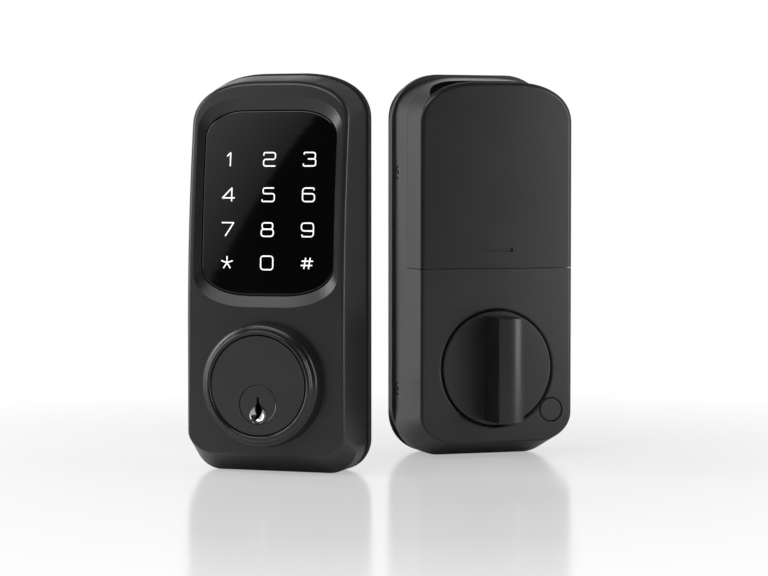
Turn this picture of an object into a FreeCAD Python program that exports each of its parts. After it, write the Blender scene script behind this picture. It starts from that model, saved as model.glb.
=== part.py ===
"""Keypad smart lock: the keypad half and the battery half, standing side by side.

Each half is drawn about its own origin, at the bottom centre of the face that meets the door:
x to the right, z up, and the front towards -Y. A "depth" is a distance in front of the door face.
"""
import FreeCAD, Part
import math
import os
import re
import Sketcher
from FreeCAD import Placement, Rotation, Vector

doc = FreeCAD.newDocument("keypad_lock")
sheet = doc.addObject("Spreadsheet::Sheet", "dim")

# Driving dimensions, in millimetres and degrees.
SIZES = {
    # where the two halves stand
    "row_x": 0, "row_y": 0,
    "battery_half_x": 47.6, "battery_half_y": 79.6, "battery_half_turn": 36,
    # keypad half: casing, gasket and door plate
    "case_width": 65, "case_height": 148, "case_corner": 18,
    "side_wall": 2.5, "front_wall": 3.2, "front_depth": 25, "top_depth": 16.5,
    "foot_depth": 14, "foot_rise": 7.6, "bend_height": 55,
    "gasket_thickness": 3, "gasket_proud": 1, "gasket_band": 5,
    "plate_thickness": 1.5, "plate_play": 0.3,
    "boss_radius": 2.2, "screw_radius": 1.1, "screw_head_radius": 1.9, "screw_head_thickness": 1.2,
    "screw_grip": 7, "hole_play": 0.3,
    "boss_top_x": 18, "boss_top_z": 140.3, "boss_mid_x": 25, "boss_mid_z": 57,
    "boss_foot_x": 21, "boss_foot_z": 10,
    # keypad
    "lens_half": 26, "lens_bottom": 66.1, "lens_top": 134.8, "lens_corner": 9,
    "lens_thickness": 1.1, "lens_sink": 1.8, "lens_play": 0.15, "seal_band": 3,
    "recess_side": 1.1, "recess_end": 3, "frame_margin": 2, "frame_thickness": 3,
    "light_thickness": 1.6, "light_play": 0.1,
    "board_depth": 8, "board_thickness": 1.6, "board_half": 27.5, "board_bottom": 66,
    "board_top": 133, "board_corner": 3, "frame_boss_x": 25.5, "frame_boss_low": 69,
    "frame_boss_high": 130, "board_screw_radius": 0.9,
    "chip_side": 9, "chip_thickness": 1, "chip_z": 100, "plug_in_width": 10, "plug_in_z": 72,
    "buzzer_radius": 5.5, "buzzer_thickness": 3.2, "buzzer_z": 57,
    # key cylinder
    "cylinder_z": 33.5, "collar_radius": 23.35, "collar_shoulder": 22.2, "collar_lip": 20.5,
    "collar_depth": 33, "collar_lip_depth": 31.5, "collar_floor": 1.5,
    "head_radius": 18.25, "head_play": 0.15, "head_depth": 32.3, "barrel_radius": 15.9,
    "plug_drop": 7, "plug_radius": 6.35, "plug_play": 0.05, "plug_head_radius": 7.3,
    "plug_head_thickness": 1, "plug_neck_radius": 4, "plug_neck_depth": 2,
    "clip_radius": 7.2, "clip_thickness": 1, "turn_gap": 0.3,
    "keyway_width": 2.2, "keyway_top": 4.2, "keyway_bottom": 4.4, "keyway_end": 8,
    "pin_radius": 1.45, "pin_play": 0.05, "pin_pitch": 4, "pin_first": 8, "driver_length": 5.5,
    "key_pin_length": 3.1, "spring_wall": 0.3, "cap_width": 4.4, "cap_thickness": 1.2,
    "cap_sink": 0.4, "barrel_screw_x": 10.5, "barrel_screw_grip": 9,
    "tail_width": 7, "tail_thickness": 2, "tail_reach": 58,
    "post_x": 21.5, "post_radius": 3.2, "post_reach": 18, "post_neck_radius": 2,
    "post_thread_radius": 2.1, "post_thread_length": 14, "rivet_thickness": 0.8,
    "grommet_x": 17.5, "grommet_rise": 16.5, "grommet_radius": 3, "grommet_bore": 1.8,
    "grommet_flange": 3.8, "grommet_lip": 1,
    # battery half: gasket, mounting plate and housing
    "inner_width": 64.6, "inner_height": 149.8, "inner_corner": 18, "inner_depth": 35,
    "inner_proud": 1.2, "inner_gasket": 1.5, "inner_plate": 3.5, "inner_band": 6,
    "inner_wall": 2.5, "seam_z": 74.3, "seam_gap": 0.25, "shoulder_depth": 19.5,
    "bay_floor_depth": 14.5, "bay_floor": 1.5, "inner_foot_depth": 16, "inner_foot_rise": 6.4,
    "cover_wall": 2, "cover_seam": 0.2, "notch_width": 13, "notch_height": 1.7,
    "notch_rise": 6.3, "notch_sink": 0.8,
    "turn_z": 35.4, "spindle_hole": 8, "door_screw_radius": 2.7, "cable_half_width": 5,
    "cable_half_height": 3.5,
    "tab_low_z": 26, "tab_high_z": 112, "tab_depth": 12, "tab_length": 4, "tab_half": 4,
    "side_screw_depth": 8.5, "side_screw_radius": 1.2, "side_screw_head": 2.2,
    "side_screw_head_thickness": 1, "side_screw_sink": 0.2,
    # batteries and main board
    "tray_gap": 0.4, "tray_wall": 0.9, "tray_front": 25, "cell_play": 0.1, "cell_radius": 7,
    "cell_length": 49.5, "cell_nub": 1, "cell_nub_radius": 2.75, "cell_pitch": 14.2,
    "contact_thickness": 0.4, "contact_half": 4.5, "spring_radius": 3.5,
    "main_board_depth": 8, "main_board_half": 24, "main_board_top": 140, "main_boss_x": 21,
    "main_boss_low": 80, "main_boss_high": 136, "radio_width": 14,
    "radio_thickness": 2, "radio_z": 122,
    # thumb turn
    "disc_radius": 22.4, "disc_gap": 0.35, "disc_thickness": 3.4, "disc_proud": 0.3,
    "bar_half_width": 5.2, "bar_half_height": 20.5, "bar_reach": 16.6, "bar_corner": 1,
    "knob_boss_radius": 9, "knob_boss_length": 4, "hub_radius": 6, "hub_play": 0.05,
    "hub_back": 4, "socket_half_width": 4.3, "socket_half_height": 1.4, "socket_length": 16,
    "bush_radius": 8, "bush_flange": 0.8, "bush_flange_radius": 9.2,
    # gear train
    "chassis_depth": 15, "chassis_thickness": 2, "chassis_play": 0.5, "chassis_top": 69,
    "access_radius": 4,
    "drive_teeth": 40, "drive_module": 0.8, "gear_start": 1, "gear_width": 3,
    "pinion_teeth": 12, "wheel_teeth": 40, "wheel_module": 0.5, "wheel_gap": 0.5,
    "wheel_width": 2, "motor_teeth": 10, "motor_pinion_extra": 0.4, "axle_radius": 1.5,
    "axle_play": 0.04, "backlash": 0.12,
    "motor_radius": 7.5, "motor_clear": 0.6, "motor_nose": 3, "motor_shaft": 0.75,
    "bridge_depth": 24.6, "bridge_thickness": 1.5, "bridge_left": 19, "bridge_right": 21,
    "bridge_bottom": 45, "bridge_top": 66, "bridge_post": 2, "bridge_post_left": 16,
    "bridge_post_left_z": 62, "bridge_post_right": 18, "bridge_post_right_z": 48.5,
    "inner_boss_radius": 2.5, "inner_boss_high_x": 24.3, "inner_boss_high_z": 66,
    "inner_boss_low_x": 20, "inner_boss_low_z": 14, "inner_boss_foot_x": 6,
    "inner_boss_foot_z": 11.2,
    # set button
    "button_x": 22.6, "button_drop": 16.9, "button_radius": 4.6, "button_gap": 0.2,
    "button_flange": 5.05, "button_flange_thickness": 0.9, "button_rest_gap": 0.3,
    "button_stem": 1.6, "button_stem_length": 2, "plunger_radius": 1.7, "plunger_play": 0.08,
    "plunger_length": 1.4, "switch_half": 3, "switch_height": 3.5, "switch_well": 1.5,
    "switch_show": 0.7, "switch_board_half": 3.6, "switch_board": 1.2, "switch_post": 2,
}
for row, (name, size) in enumerate(SIZES.items(), start=1):
    sheet.set(f"A{row}", name)
    sheet.set(f"B{row}", str(size))
    sheet.setAlias(f"B{row}", name)
doc.recompute()

SUBPARTS = []


def formula(text):
    """Point the sheet's names in a formula at their cells."""
    return re.sub(r"[a-z_]+", lambda word: "dim." + word[0] if word[0] in SIZES else word[0], text)


def size(text):
    """Work a formula out as a number."""
    return float(sheet.evalExpression(formula(text)))


def bind(thing, field, text):
    """Tie one field of an object to a formula."""
    thing.setExpression(field, formula(text))


def fix(sketch, kind, places, text):
    """Add one driving dimension to a sketch and tie it to a formula."""
    index = sketch.addConstraint(Sketcher.Constraint(kind, *places, size(text)))
    bind(sketch, f"Constraints[{index}]", text)


def fix_point(sketch, edge, end, x, y):
    """Tie one end or centre of an edge to a place measured from the sketch's origin."""
    fix(sketch, "DistanceX", (-1, 1, edge, end), x)
    fix(sketch, "DistanceY", (-1, 1, edge, end), y)


def disc(x, y, radius):
    """A circle."""
    def draw(sketch):
        circle = Part.Circle(Vector(size(x), size(y), 0), Vector(0, 0, 1), size(radius))
        edge = sketch.addGeometry(circle)
        fix_point(sketch, edge, 3, x, y)
        fix(sketch, "Radius", (edge,), radius)
    return draw


def arc_through(start, heading, end):
    """The circle that leaves start along heading and passes through end, and its turning side."""
    side = Vector(-heading.y, heading.x, 0).normalize()
    chord = end - start
    reach = chord.dot(chord) / (2 * chord.dot(side))
    return start + side * reach, abs(reach), reach > 0


def path(*corners):
    """A closed outline of (x, y) corners. A third item says that an arc reaches the corner:
    "arc" leaves along the run before it, and "arc_in" arrives along the run after it."""
    def draw(sketch):
        points = [Vector(size(corner[0]), size(corner[1]), 0) for corner in corners]
        count = len(points)
        edges = []
        for index, start in enumerate(points):
            target = (index + 1) % count
            end = points[target]
            kind = corners[target][2] if len(corners[target]) == 3 else "line"
            if kind == "line":
                edges.append((sketch.addGeometry(Part.LineSegment(start, end)), 1, 2, kind))
                continue
            if kind == "arc":
                centre, radius, left = arc_through(start, start - points[index - 1], end)
            else:
                beyond = points[(target + 1) % count]
                centre, radius, right = arc_through(end, end - beyond, start)
                left = not right
            angles = [math.atan2(p.y - centre.y, p.x - centre.x) for p in (start, end)]
            first, last = angles if left else angles[::-1]
            arc = Part.ArcOfCircle(Part.Circle(centre, Vector(0, 0, 1), radius), first, last)
            ends = (1, 2) if left else (2, 1)
            edges.append((sketch.addGeometry(arc), *ends, kind))
        for index, (edge, start, _, kind) in enumerate(edges):
            before, _, before_end, before_kind = edges[index - 1]
            smooth = kind == "arc" or before_kind == "arc_in"
            join = "Tangent" if smooth else "Coincident"
            sketch.addConstraint(Sketcher.Constraint(join, before, before_end, edge, start))
            fix_point(sketch, edge, start, corners[index][0], corners[index][1])
    return draw


def box(left, right, bottom, top):
    """A rectangle."""
    return path((left, bottom), (right, bottom), (right, top), (left, top))


def rounded(left, right, bottom, top, corner):
    """A rectangle with round corners."""
    return path(
        (f"{left} + ({corner})", bottom, "arc"), (f"{right} - ({corner})", bottom),
        (right, f"{bottom} + ({corner})", "arc"), (right, f"{top} - ({corner})"),
        (f"{right} - ({corner})", top, "arc"), (f"{left} + ({corner})", top),
        (left, f"{top} - ({corner})", "arc"), (left, f"{bottom} + ({corner})"))


def arched(half, flat_end, round_end, corner):
    """A U: square at flat_end and with round corners at round_end, above or below it."""
    up = size(round_end) > size(flat_end)
    near_end = f"{round_end} - ({corner})" if up else f"{round_end} + ({corner})"
    return path(
        (f"-({half})", flat_end), (half, flat_end), (half, near_end),
        (f"{half} - ({corner})", round_end, "arc"), (f"-({half}) + ({corner})", round_end),
        (f"-({half})", near_end, "arc"))


def sketch_on(body, plane, shapes, offset="0", x="0", y="0"):
    """Draw shapes on a sketch on one of the body's own planes, moved by an offset."""
    sketch = body.newObject("Sketcher::SketchObject", "sketch")
    base = [feature for feature in body.Origin.OriginFeatures if feature.Role == plane][0]
    sketch.AttachmentSupport = (base, [""])
    sketch.MapMode = "FlatFace"
    bind(sketch, "AttachmentOffset.Base.x", x)
    bind(sketch, "AttachmentOffset.Base.y", y)
    bind(sketch, "AttachmentOffset.Base.z", offset)
    for draw in shapes:
        draw(sketch)
    return sketch


def extrude(body, kind, sketch, length, both=False):
    """Pad or pocket a sketch."""
    feature = body.newObject(f"PartDesign::{kind}", kind.lower())
    feature.Profile = sketch
    feature.Midplane = both
    bind(feature, "Length", length)
    sketch.Visibility = False


def plate(body, shapes, back, front):
    """Add material between two depths."""
    extrude(body, "Pad", sketch_on(body, "XZ_Plane", shapes, back), f"({front}) - ({back})")


def cut(body, shapes, back, front):
    """Cut material away between two depths."""
    sketch = sketch_on(body, "XZ_Plane", shapes, front)
    extrude(body, "Pocket", sketch, f"({front}) - ({back})")


def bar(body, shapes, width):
    """Add material either side of the middle plane, from a side view."""
    extrude(body, "Pad", sketch_on(body, "YZ_Plane", shapes), width, both=True)


def stand(body, kind, shapes, bottom, top):
    """Add or cut material between two heights, from a plan view."""
    if kind == "Pad":
        sketch = sketch_on(body, "XY_Plane", shapes, bottom)
    else:
        sketch = sketch_on(body, "XY_Plane", shapes, top)
    extrude(body, kind, sketch, f"({top}) - ({bottom})")


def turned(body, corners, x, z):
    """Turn a profile of (depth, radius) corners about an axis square to the door."""
    shapes = [path(*((f"-({depth})", radius) for depth, radius in corners))]
    sketch = sketch_on(body, "YZ_Plane", shapes, offset=x, y=z)
    feature = body.newObject("PartDesign::Revolution", "turning")
    feature.Profile = sketch
    feature.ReferenceAxis = (sketch, ["H_Axis"])
    feature.Angle = 360
    sketch.Visibility = False


def new_body(label):
    """Start a body that may hold several separate solids."""
    body = doc.addObject("PartDesign::Body", label)
    body.Label = label
    if hasattr(body, "AllowCompound"):
        body.AllowCompound = True
    return body


def place(thing, half):
    """Stand a finished sub-part in the row, with the half it belongs to."""
    turn = "battery_half_turn" if half == "battery" else "0"
    thing.Placement = Placement(Vector(0, 0, 0), Rotation(Vector(0, 0, 1), size(turn)))
    moved_x = "row_x + battery_half_x" if half == "battery" else "row_x"
    moved_y = "row_y + battery_half_y" if half == "battery" else "row_y"
    bind(thing, "Placement.Base.x", moved_x)
    bind(thing, "Placement.Base.y", moved_y)
    bind(thing, "Placement.Rotation.Angle", turn)
    SUBPARTS.append(thing)


def piece(label, half):
    """Start a sub-part of one half."""
    body = new_body(label)
    place(body, half)
    return body


def trim(body, outline, margin="10"):
    """Cut away everything outside an outline seen from the front."""
    reach = f"case_width + {margin}"
    around = box(f"-({reach})", reach, f"-({margin})", f"case_height + {margin}")
    cut(body, [around, outline], "-1", "front_depth + 1")


def front_shape(near, far, bottom):
    """A side view of what lies between two copies of the keypad half's front, moved back by near
    and far: upright below bend_height, and from there one long curve back to the top."""
    return path(
        (f"-(front_depth - ({near}))", bottom), (f"-(front_depth - ({near}))", "bend_height"),
        (f"-(top_depth - ({near}))", "case_height", "arc"),
        (f"-(top_depth - ({far}))", "case_height"),
        (f"-(front_depth - ({far}))", "bend_height", "arc_in"),
        (f"-(front_depth - ({far}))", bottom))


def curved(body, near, far, outline):
    """A slab that follows the front, from near to far behind it, cut to an outline."""
    bar(body, [front_shape(near, far, "0")], "case_width")
    trim(body, outline)


def across(body, shapes, length, x="0", both=True):
    """Cut sideways from a side view: through the middle, or inwards from x."""
    sketch = sketch_on(body, "YZ_Plane", shapes, x)
    extrude(body, "Pocket", sketch, length, both)


def combine(kind, label, parts):
    """Fuse parts, or cut the second from the first."""
    result = doc.addObject(kind, label)
    result.Label = label
    if kind == "Part::Cut":
        result.Base, result.Tool = parts
    else:
        result.Shapes = parts
    return result


def front_at(z):
    """The depth of the keypad half's front at a height on its curve."""
    rise = "(case_height - bend_height)"
    fall = "(front_depth - top_depth)"
    radius = f"(({rise}^2 + {fall}^2) / (2 * {fall}))"
    return f"front_depth - {radius} + sqrt({radius}^2 - (({z}) - bend_height)^2)"


def case_outline(grow):
    """The keypad half's outline, moved out by grow at the sides and the top."""
    return rounded(f"-(case_width / 2 + ({grow}))", f"case_width / 2 + ({grow})", "0",
                   f"case_height + ({grow})", f"case_corner + ({grow})")


def inset_outline(width, height, corner, inset):
    """An outline standing on the floor, moved in by inset all round."""
    return rounded(f"-({width} / 2 - ({inset}))", f"{width} / 2 - ({inset})", inset,
                   f"{height} - ({inset})", f"{corner} - ({inset})")


def lens_outline(side, end):
    """The lens's outline, moved out at the sides and the ends."""
    return rounded(f"-(lens_half + ({side}))", f"lens_half + ({side})",
                   f"lens_bottom - ({end})", f"lens_top + ({end})",
                   f"lens_corner + ({side})")


def screws(body, spots, seat, grip, shank, head_in_front=False):
    """Screws along the depth: heads on the seat, shanks away from them."""
    for x, z in spots:
        if head_in_front:
            plate(body, [disc(x, z, "screw_head_radius")], seat,
                  f"{seat} + screw_head_thickness")
            plate(body, [disc(x, z, shank)], f"{seat} - ({grip})", seat)
        else:
            plate(body, [disc(x, z, "screw_head_radius")],
                  f"{seat} - screw_head_thickness", seat)
            plate(body, [disc(x, z, shank)], seat, f"{seat} + {grip}")


def discs(spots, radius):
    """One circle at each spot."""
    return [disc(x, z, radius) for x, z in spots]


def both_sides(spots):
    """Each spot and its mirror image."""
    return [(f"{sign}({x})", z) for x, z in spots for sign in ("", "-")]


# Places that several sub-parts share.
PLUG_Z = "(cylinder_z - plug_drop)"
PLATE_FRONT = "(gasket_thickness + plate_thickness)"
UPPER_BOSSES = both_sides([("boss_top_x", "boss_top_z")])
LOWER_BOSSES = both_sides([("boss_mid_x", "boss_mid_z"), ("boss_foot_x", "boss_foot_z")])
BARREL_SCREWS = both_sides([("barrel_screw_x", "cylinder_z")])
POSTS = both_sides([("post_x", PLUG_Z)])
GROMMET = ("grommet_x", f"{PLUG_Z} + grommet_rise")
LOW_FRAME_BOSSES = both_sides([("frame_boss_x", "frame_boss_low")])
HIGH_FRAME_BOSSES = both_sides([("frame_boss_x", "frame_boss_high")])
BOARD_FRONT = "(board_depth + board_thickness)"

# ---- Keypad half: door gasket, door plate and what is fixed to it ----
door_gasket = piece("door_gasket", "keypad")
plate(door_gasket, [case_outline("gasket_proud")], "0", "gasket_thickness")
window = "gasket_band - gasket_proud"
cut(door_gasket, [inset_outline("case_width", "case_height", "case_corner", window)],
    "0", "gasket_thickness")

door_plate = piece("door_plate", "keypad")
plate(door_plate,
      [inset_outline("case_width", "case_height", "case_corner", "side_wall + plate_play")],
      "gasket_thickness", PLATE_FRONT)
cut(door_plate,
    discs(UPPER_BOSSES + LOWER_BOSSES + BARREL_SCREWS, "screw_radius + hole_play")
    + discs(POSTS, "post_neck_radius") + [disc(*GROMMET, "grommet_radius")]
    + [disc("0", PLUG_Z, "clip_radius + turn_gap")],
    "gasket_thickness", PLATE_FRONT)

plate_screws = piece("plate_screws", "keypad")
screws(plate_screws, UPPER_BOSSES + LOWER_BOSSES, "gasket_thickness",
       "plate_thickness + screw_grip", "screw_radius")

mounting_posts = piece("mounting_posts", "keypad")
plate(mounting_posts, discs(POSTS, "post_radius"), "-post_reach", "gasket_thickness")
plate(mounting_posts, discs(POSTS, "post_neck_radius"), "gasket_thickness", PLATE_FRONT)
plate(mounting_posts, discs(POSTS, "post_radius"), PLATE_FRONT,
      f"{PLATE_FRONT} + rivet_thickness")
cut(mounting_posts, discs(POSTS, "post_thread_radius"), "-post_reach",
    "post_thread_length - post_reach")

cable_grommet = piece("cable_grommet", "keypad")
turned(cable_grommet,
       [("gasket_thickness - grommet_lip", "grommet_bore"),
        ("gasket_thickness - grommet_lip", "grommet_radius"),
        (PLATE_FRONT, "grommet_radius"), (PLATE_FRONT, "grommet_flange"),
        (f"{PLATE_FRONT} + grommet_lip", "grommet_flange"),
        (f"{PLATE_FRONT} + grommet_lip", "grommet_bore")], *GROMMET)

buzzer = piece("buzzer", "keypad")
plate(buzzer, [disc("0", "buzzer_z", "buzzer_radius")], PLATE_FRONT,
      f"{PLATE_FRONT} + buzzer_thickness")

# ---- Keypad half: the front casing, a die-cast shell with screw bosses inside ----
casing_form = new_body("casing_form")
bar(casing_form,
    [path(("-gasket_thickness", "0"), ("-foot_depth", "0"), ("-front_depth", "foot_rise"),
          ("-front_depth", "bend_height"), ("-top_depth", "case_height", "arc"),
          ("-gasket_thickness", "case_height"))], "case_width")
trim(casing_form, case_outline("0"))

casing_cavity = new_body("casing_cavity")
bar(casing_cavity,
    [path(("0", "side_wall"), ("-(foot_depth - front_wall)", "side_wall"),
          ("-(front_depth - front_wall)", "foot_rise + side_wall"),
          ("-(front_depth - front_wall)", "bend_height"),
          ("-(top_depth - front_wall)", "case_height", "arc"), ("0", "case_height"))],
    "case_width")
trim(casing_cavity, inset_outline("case_width", "case_height", "case_corner", "side_wall"))

casing_bosses = new_body("casing_bosses")
plate(casing_bosses, discs(UPPER_BOSSES, "boss_radius"), PLATE_FRONT,
      f"{front_at('boss_top_z')} - front_wall / 2")
plate(casing_bosses, discs(LOWER_BOSSES, "boss_radius"), PLATE_FRONT,
      "front_depth - front_wall / 2")
cut(casing_bosses, discs(UPPER_BOSSES + LOWER_BOSSES, "screw_radius"), PLATE_FRONT,
    f"{PLATE_FRONT} + screw_grip")

keypad_recess = new_body("keypad_recess")
curved(keypad_recess, "-front_wall", "lens_sink", lens_outline("recess_side", "recess_end"))
keypad_window = new_body("keypad_window")
curved(keypad_window, "0", "front_wall * 2", lens_outline("lens_play", "lens_play"))
barrel_hole = new_body("barrel_hole")
plate(barrel_hole, [disc("0", "cylinder_z", "barrel_radius + head_play")],
      PLATE_FRONT, "front_depth + 1")

casing_shell = combine("Part::Cut", "casing_shell", (casing_form, casing_cavity))
bossed_shell = combine("Part::MultiFuse", "bossed_shell", [casing_shell, casing_bosses])
casing_openings = combine("Part::MultiFuse", "casing_openings",
                          [keypad_recess, keypad_window, barrel_hole])
front_casing = combine("Part::Cut", "front_casing", (bossed_shell, casing_openings))
place(front_casing, "keypad")

# ---- Keypad: the glass, its seal, and the frame with the light sheet and circuit board ----
keypad_lens = piece("keypad_lens", "keypad")
curved(keypad_lens, "lens_sink", "lens_sink + lens_thickness", lens_outline("0", "0"))

seal_window = lens_outline("-seal_band", "-seal_band")
lens_seal = piece("lens_seal", "keypad")
curved(lens_seal, "lens_sink + lens_thickness", "front_wall", lens_outline("0", "0"))
cut(lens_seal, [seal_window], "0", "front_depth + 1")

keypad_frame = piece("keypad_frame", "keypad")
curved(keypad_frame, "front_wall", "front_wall + frame_thickness",
       lens_outline("frame_margin", "frame_margin"))
cut(keypad_frame, [seal_window], "0", "front_depth + 1")
for spots, height in ((LOW_FRAME_BOSSES, "frame_boss_low"),
                      (HIGH_FRAME_BOSSES, "frame_boss_high")):
    plate(keypad_frame, discs(spots, "boss_radius"), BOARD_FRONT,
          f"{front_at(height)} - front_wall - frame_thickness / 2")
cut(keypad_frame, discs(LOW_FRAME_BOSSES + HIGH_FRAME_BOSSES, "board_screw_radius"),
    BOARD_FRONT, f"{BOARD_FRONT} + frame_thickness")

light_guide = piece("light_guide", "keypad")
guide_band = "-(seal_band + light_play)"
curved(light_guide, "front_wall", "front_wall + light_thickness",
       lens_outline(guide_band, guide_band))

keypad_board = piece("keypad_board", "keypad")
plate(keypad_board,
      [rounded("-board_half", "board_half", "board_bottom", "board_top", "board_corner")],
      "board_depth", BOARD_FRONT)
cut(keypad_board,
    discs(LOW_FRAME_BOSSES + HIGH_FRAME_BOSSES, "board_screw_radius + hole_play"),
    "board_depth", BOARD_FRONT)

keypad_chips = piece("keypad_chips", "keypad")
plate(keypad_chips,
      [box("-chip_side / 2", "chip_side / 2", "chip_z - chip_side / 2",
           "chip_z + chip_side / 2")], BOARD_FRONT, f"{BOARD_FRONT} + chip_thickness")
plate(keypad_chips,
      [box("-plug_in_width / 2", "plug_in_width / 2", "plug_in_z",
           "plug_in_z + plug_in_width / 2")],
      "board_depth - chip_thickness * 2", "board_depth")

keypad_screws = piece("keypad_screws", "keypad")
screws(keypad_screws, LOW_FRAME_BOSSES + HIGH_FRAME_BOSSES, "board_depth",
       "board_thickness + frame_thickness", "board_screw_radius")

# ---- Key cylinder: collar, barrel, pins and plug ----
HEAD_BACK = "(front_depth + collar_floor)"
collar_bore = "head_radius + head_play"
cylinder_collar = piece("cylinder_collar", "keypad")
turned(cylinder_collar,
       [("front_depth", "barrel_radius + head_play"), ("front_depth", "collar_radius"),
        ("collar_lip_depth", "collar_shoulder"), ("collar_depth", "collar_lip"),
        ("collar_depth", collar_bore), (HEAD_BACK, collar_bore),
        (HEAD_BACK, "barrel_radius + head_play")], "0", "cylinder_z")

PINS = [f"pin_first + pin_pitch * {index}" for index in range(5)]
PIN_LAST = "(pin_first + pin_pitch * 4)"
CAP_FOOT = "(cylinder_z + barrel_radius - cap_sink - cap_thickness)"
CAP_OUTLINE = box("-cap_width / 2", "cap_width / 2", f"-({PIN_LAST} + cap_width / 2)",
                  "-(pin_first - cap_width / 2)")
PIN_HOLES = [disc("0", f"-({depth})", "pin_radius + pin_play") for depth in PINS]
PIN_DISCS = [disc("0", f"-({depth})", "pin_radius") for depth in PINS]

cylinder_barrel = piece("cylinder_barrel", "keypad")
turned(cylinder_barrel,
       [(PLATE_FRONT, "0"), (PLATE_FRONT, "barrel_radius"), (HEAD_BACK, "barrel_radius"),
        (HEAD_BACK, "head_radius"), ("head_depth", "head_radius"), ("head_depth", "0")],
       "0", "cylinder_z")
cut(cylinder_barrel, [disc("0", PLUG_Z, "plug_radius + plug_play")], PLATE_FRONT, "head_depth")
cut(cylinder_barrel, [disc("0", PLUG_Z, "plug_head_radius + plug_play")],
    "head_depth - plug_head_thickness", "head_depth")
cut(cylinder_barrel, discs(BARREL_SCREWS, "screw_radius"), PLATE_FRONT,
    f"{PLATE_FRONT} + barrel_screw_grip")
stand(cylinder_barrel, "Pocket", PIN_HOLES, PLUG_Z, "cylinder_z + barrel_radius")
stand(cylinder_barrel, "Pocket", [CAP_OUTLINE], CAP_FOOT, "cylinder_z + barrel_radius + 1")

barrel_cap = piece("barrel_cap", "keypad")
stand(barrel_cap, "Pad", [CAP_OUTLINE], CAP_FOOT, f"{CAP_FOOT} + cap_thickness")

barrel_screws = piece("barrel_screws", "keypad")
screws(barrel_screws, BARREL_SCREWS, "gasket_thickness",
       "plate_thickness + barrel_screw_grip", "screw_radius")

SHEAR = f"({PLUG_Z} + plug_radius + plug_play * 2)"
driver_pins = piece("driver_pins", "keypad")
stand(driver_pins, "Pad", PIN_DISCS, SHEAR, f"{SHEAR} + driver_length")

pin_springs = piece("pin_springs", "keypad")
coil_rims = [disc("0", f"-({depth})", "pin_radius - spring_wall") for depth in PINS]
stand(pin_springs, "Pad", PIN_DISCS + coil_rims, f"{SHEAR} + driver_length", CAP_FOOT)

key_plug = piece("key_plug", "keypad")
SHOULDER = f"({PLATE_FRONT} - turn_gap)"
turned(key_plug,
       [("plug_neck_depth", "0"), ("plug_neck_depth", "plug_neck_radius"),
        (SHOULDER, "plug_neck_radius"), (SHOULDER, "plug_radius"),
        ("head_depth - plug_head_thickness", "plug_radius"),
        ("head_depth - plug_head_thickness", "plug_head_radius"),
        ("head_depth", "plug_head_radius"), ("head_depth", "0")], "0", PLUG_Z)
cut(key_plug,
    [box("-keyway_width / 2", "keyway_width / 2", f"{PLUG_Z} - keyway_bottom",
         f"{PLUG_Z} + keyway_top")], "keyway_end", "head_depth")
stand(key_plug, "Pocket", PIN_HOLES, PLUG_Z, SHEAR)

key_pins = piece("key_pins", "keypad")
PIN_TOP = f"({PLUG_Z} + plug_radius - turn_gap)"
stand(key_pins, "Pad", PIN_DISCS, f"{PIN_TOP} - key_pin_length", PIN_TOP)

plug_clip = piece("plug_clip", "keypad")
plate(plug_clip, [disc("0", PLUG_Z, "clip_radius"), disc("0", PLUG_Z, "plug_neck_radius")],
      f"{SHOULDER} - clip_thickness", SHOULDER)

tailpiece = piece("tailpiece", "keypad")
plate(tailpiece,
      [box("-tail_width / 2", "tail_width / 2", f"{PLUG_Z} - tail_thickness / 2",
           f"{PLUG_Z} + tail_thickness / 2")], "-tail_reach", "plug_neck_depth")

# ---- Battery half: gasket, mounting plate and housing ----
INNER_BACK = "(inner_gasket + inner_plate)"
INNER_WALL_HALF = "(inner_width / 2 - inner_wall)"
INNER_CORNER = "(inner_corner - inner_wall)"
FRONT_INSIDE = "(inner_depth - inner_wall)"
PROUD_OUTLINE = rounded("-(inner_width / 2 + inner_proud)", "inner_width / 2 + inner_proud",
                        "0", "inner_height + inner_proud", "inner_corner + inner_proud")
DOOR_SCREWS = both_sides([("post_x", "turn_z")])
SIDE_SCREWS = ["tab_low_z", "tab_high_z"]

inner_gasket = piece("inner_gasket", "battery")
plate(inner_gasket, [PROUD_OUTLINE], "0", "inner_gasket")
cut(inner_gasket,
    [inset_outline("inner_width", "inner_height", "inner_corner", "inner_band")],
    "0", "inner_gasket")

mounting_plate = piece("mounting_plate", "battery")
plate(mounting_plate, [PROUD_OUTLINE], "inner_gasket", INNER_BACK)
CABLE_WINDOW = box("-grommet_x - cable_half_width", "-grommet_x + cable_half_width",
                   "turn_z + grommet_rise - cable_half_height",
                   "turn_z + grommet_rise + cable_half_height")
cut(mounting_plate,
    discs(DOOR_SCREWS, "door_screw_radius") + [disc("0", "turn_z", "spindle_hole")],
    "inner_gasket", INNER_BACK)
cut(mounting_plate, [CABLE_WINDOW], "inner_gasket", INNER_BACK)
TAB_OUT = f"({INNER_WALL_HALF} - plate_play)"
for height in SIDE_SCREWS:
    for side in ("", "-"):
        plate(mounting_plate,
              [box(f"{side}({TAB_OUT})", f"{side}({TAB_OUT} - tab_length)",
                   f"{height} - tab_half", f"{height} + tab_half")],
              INNER_BACK, "tab_depth")
across(mounting_plate,
       [disc("-side_screw_depth", height, "side_screw_radius") for height in SIDE_SCREWS],
       "inner_width")

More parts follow.
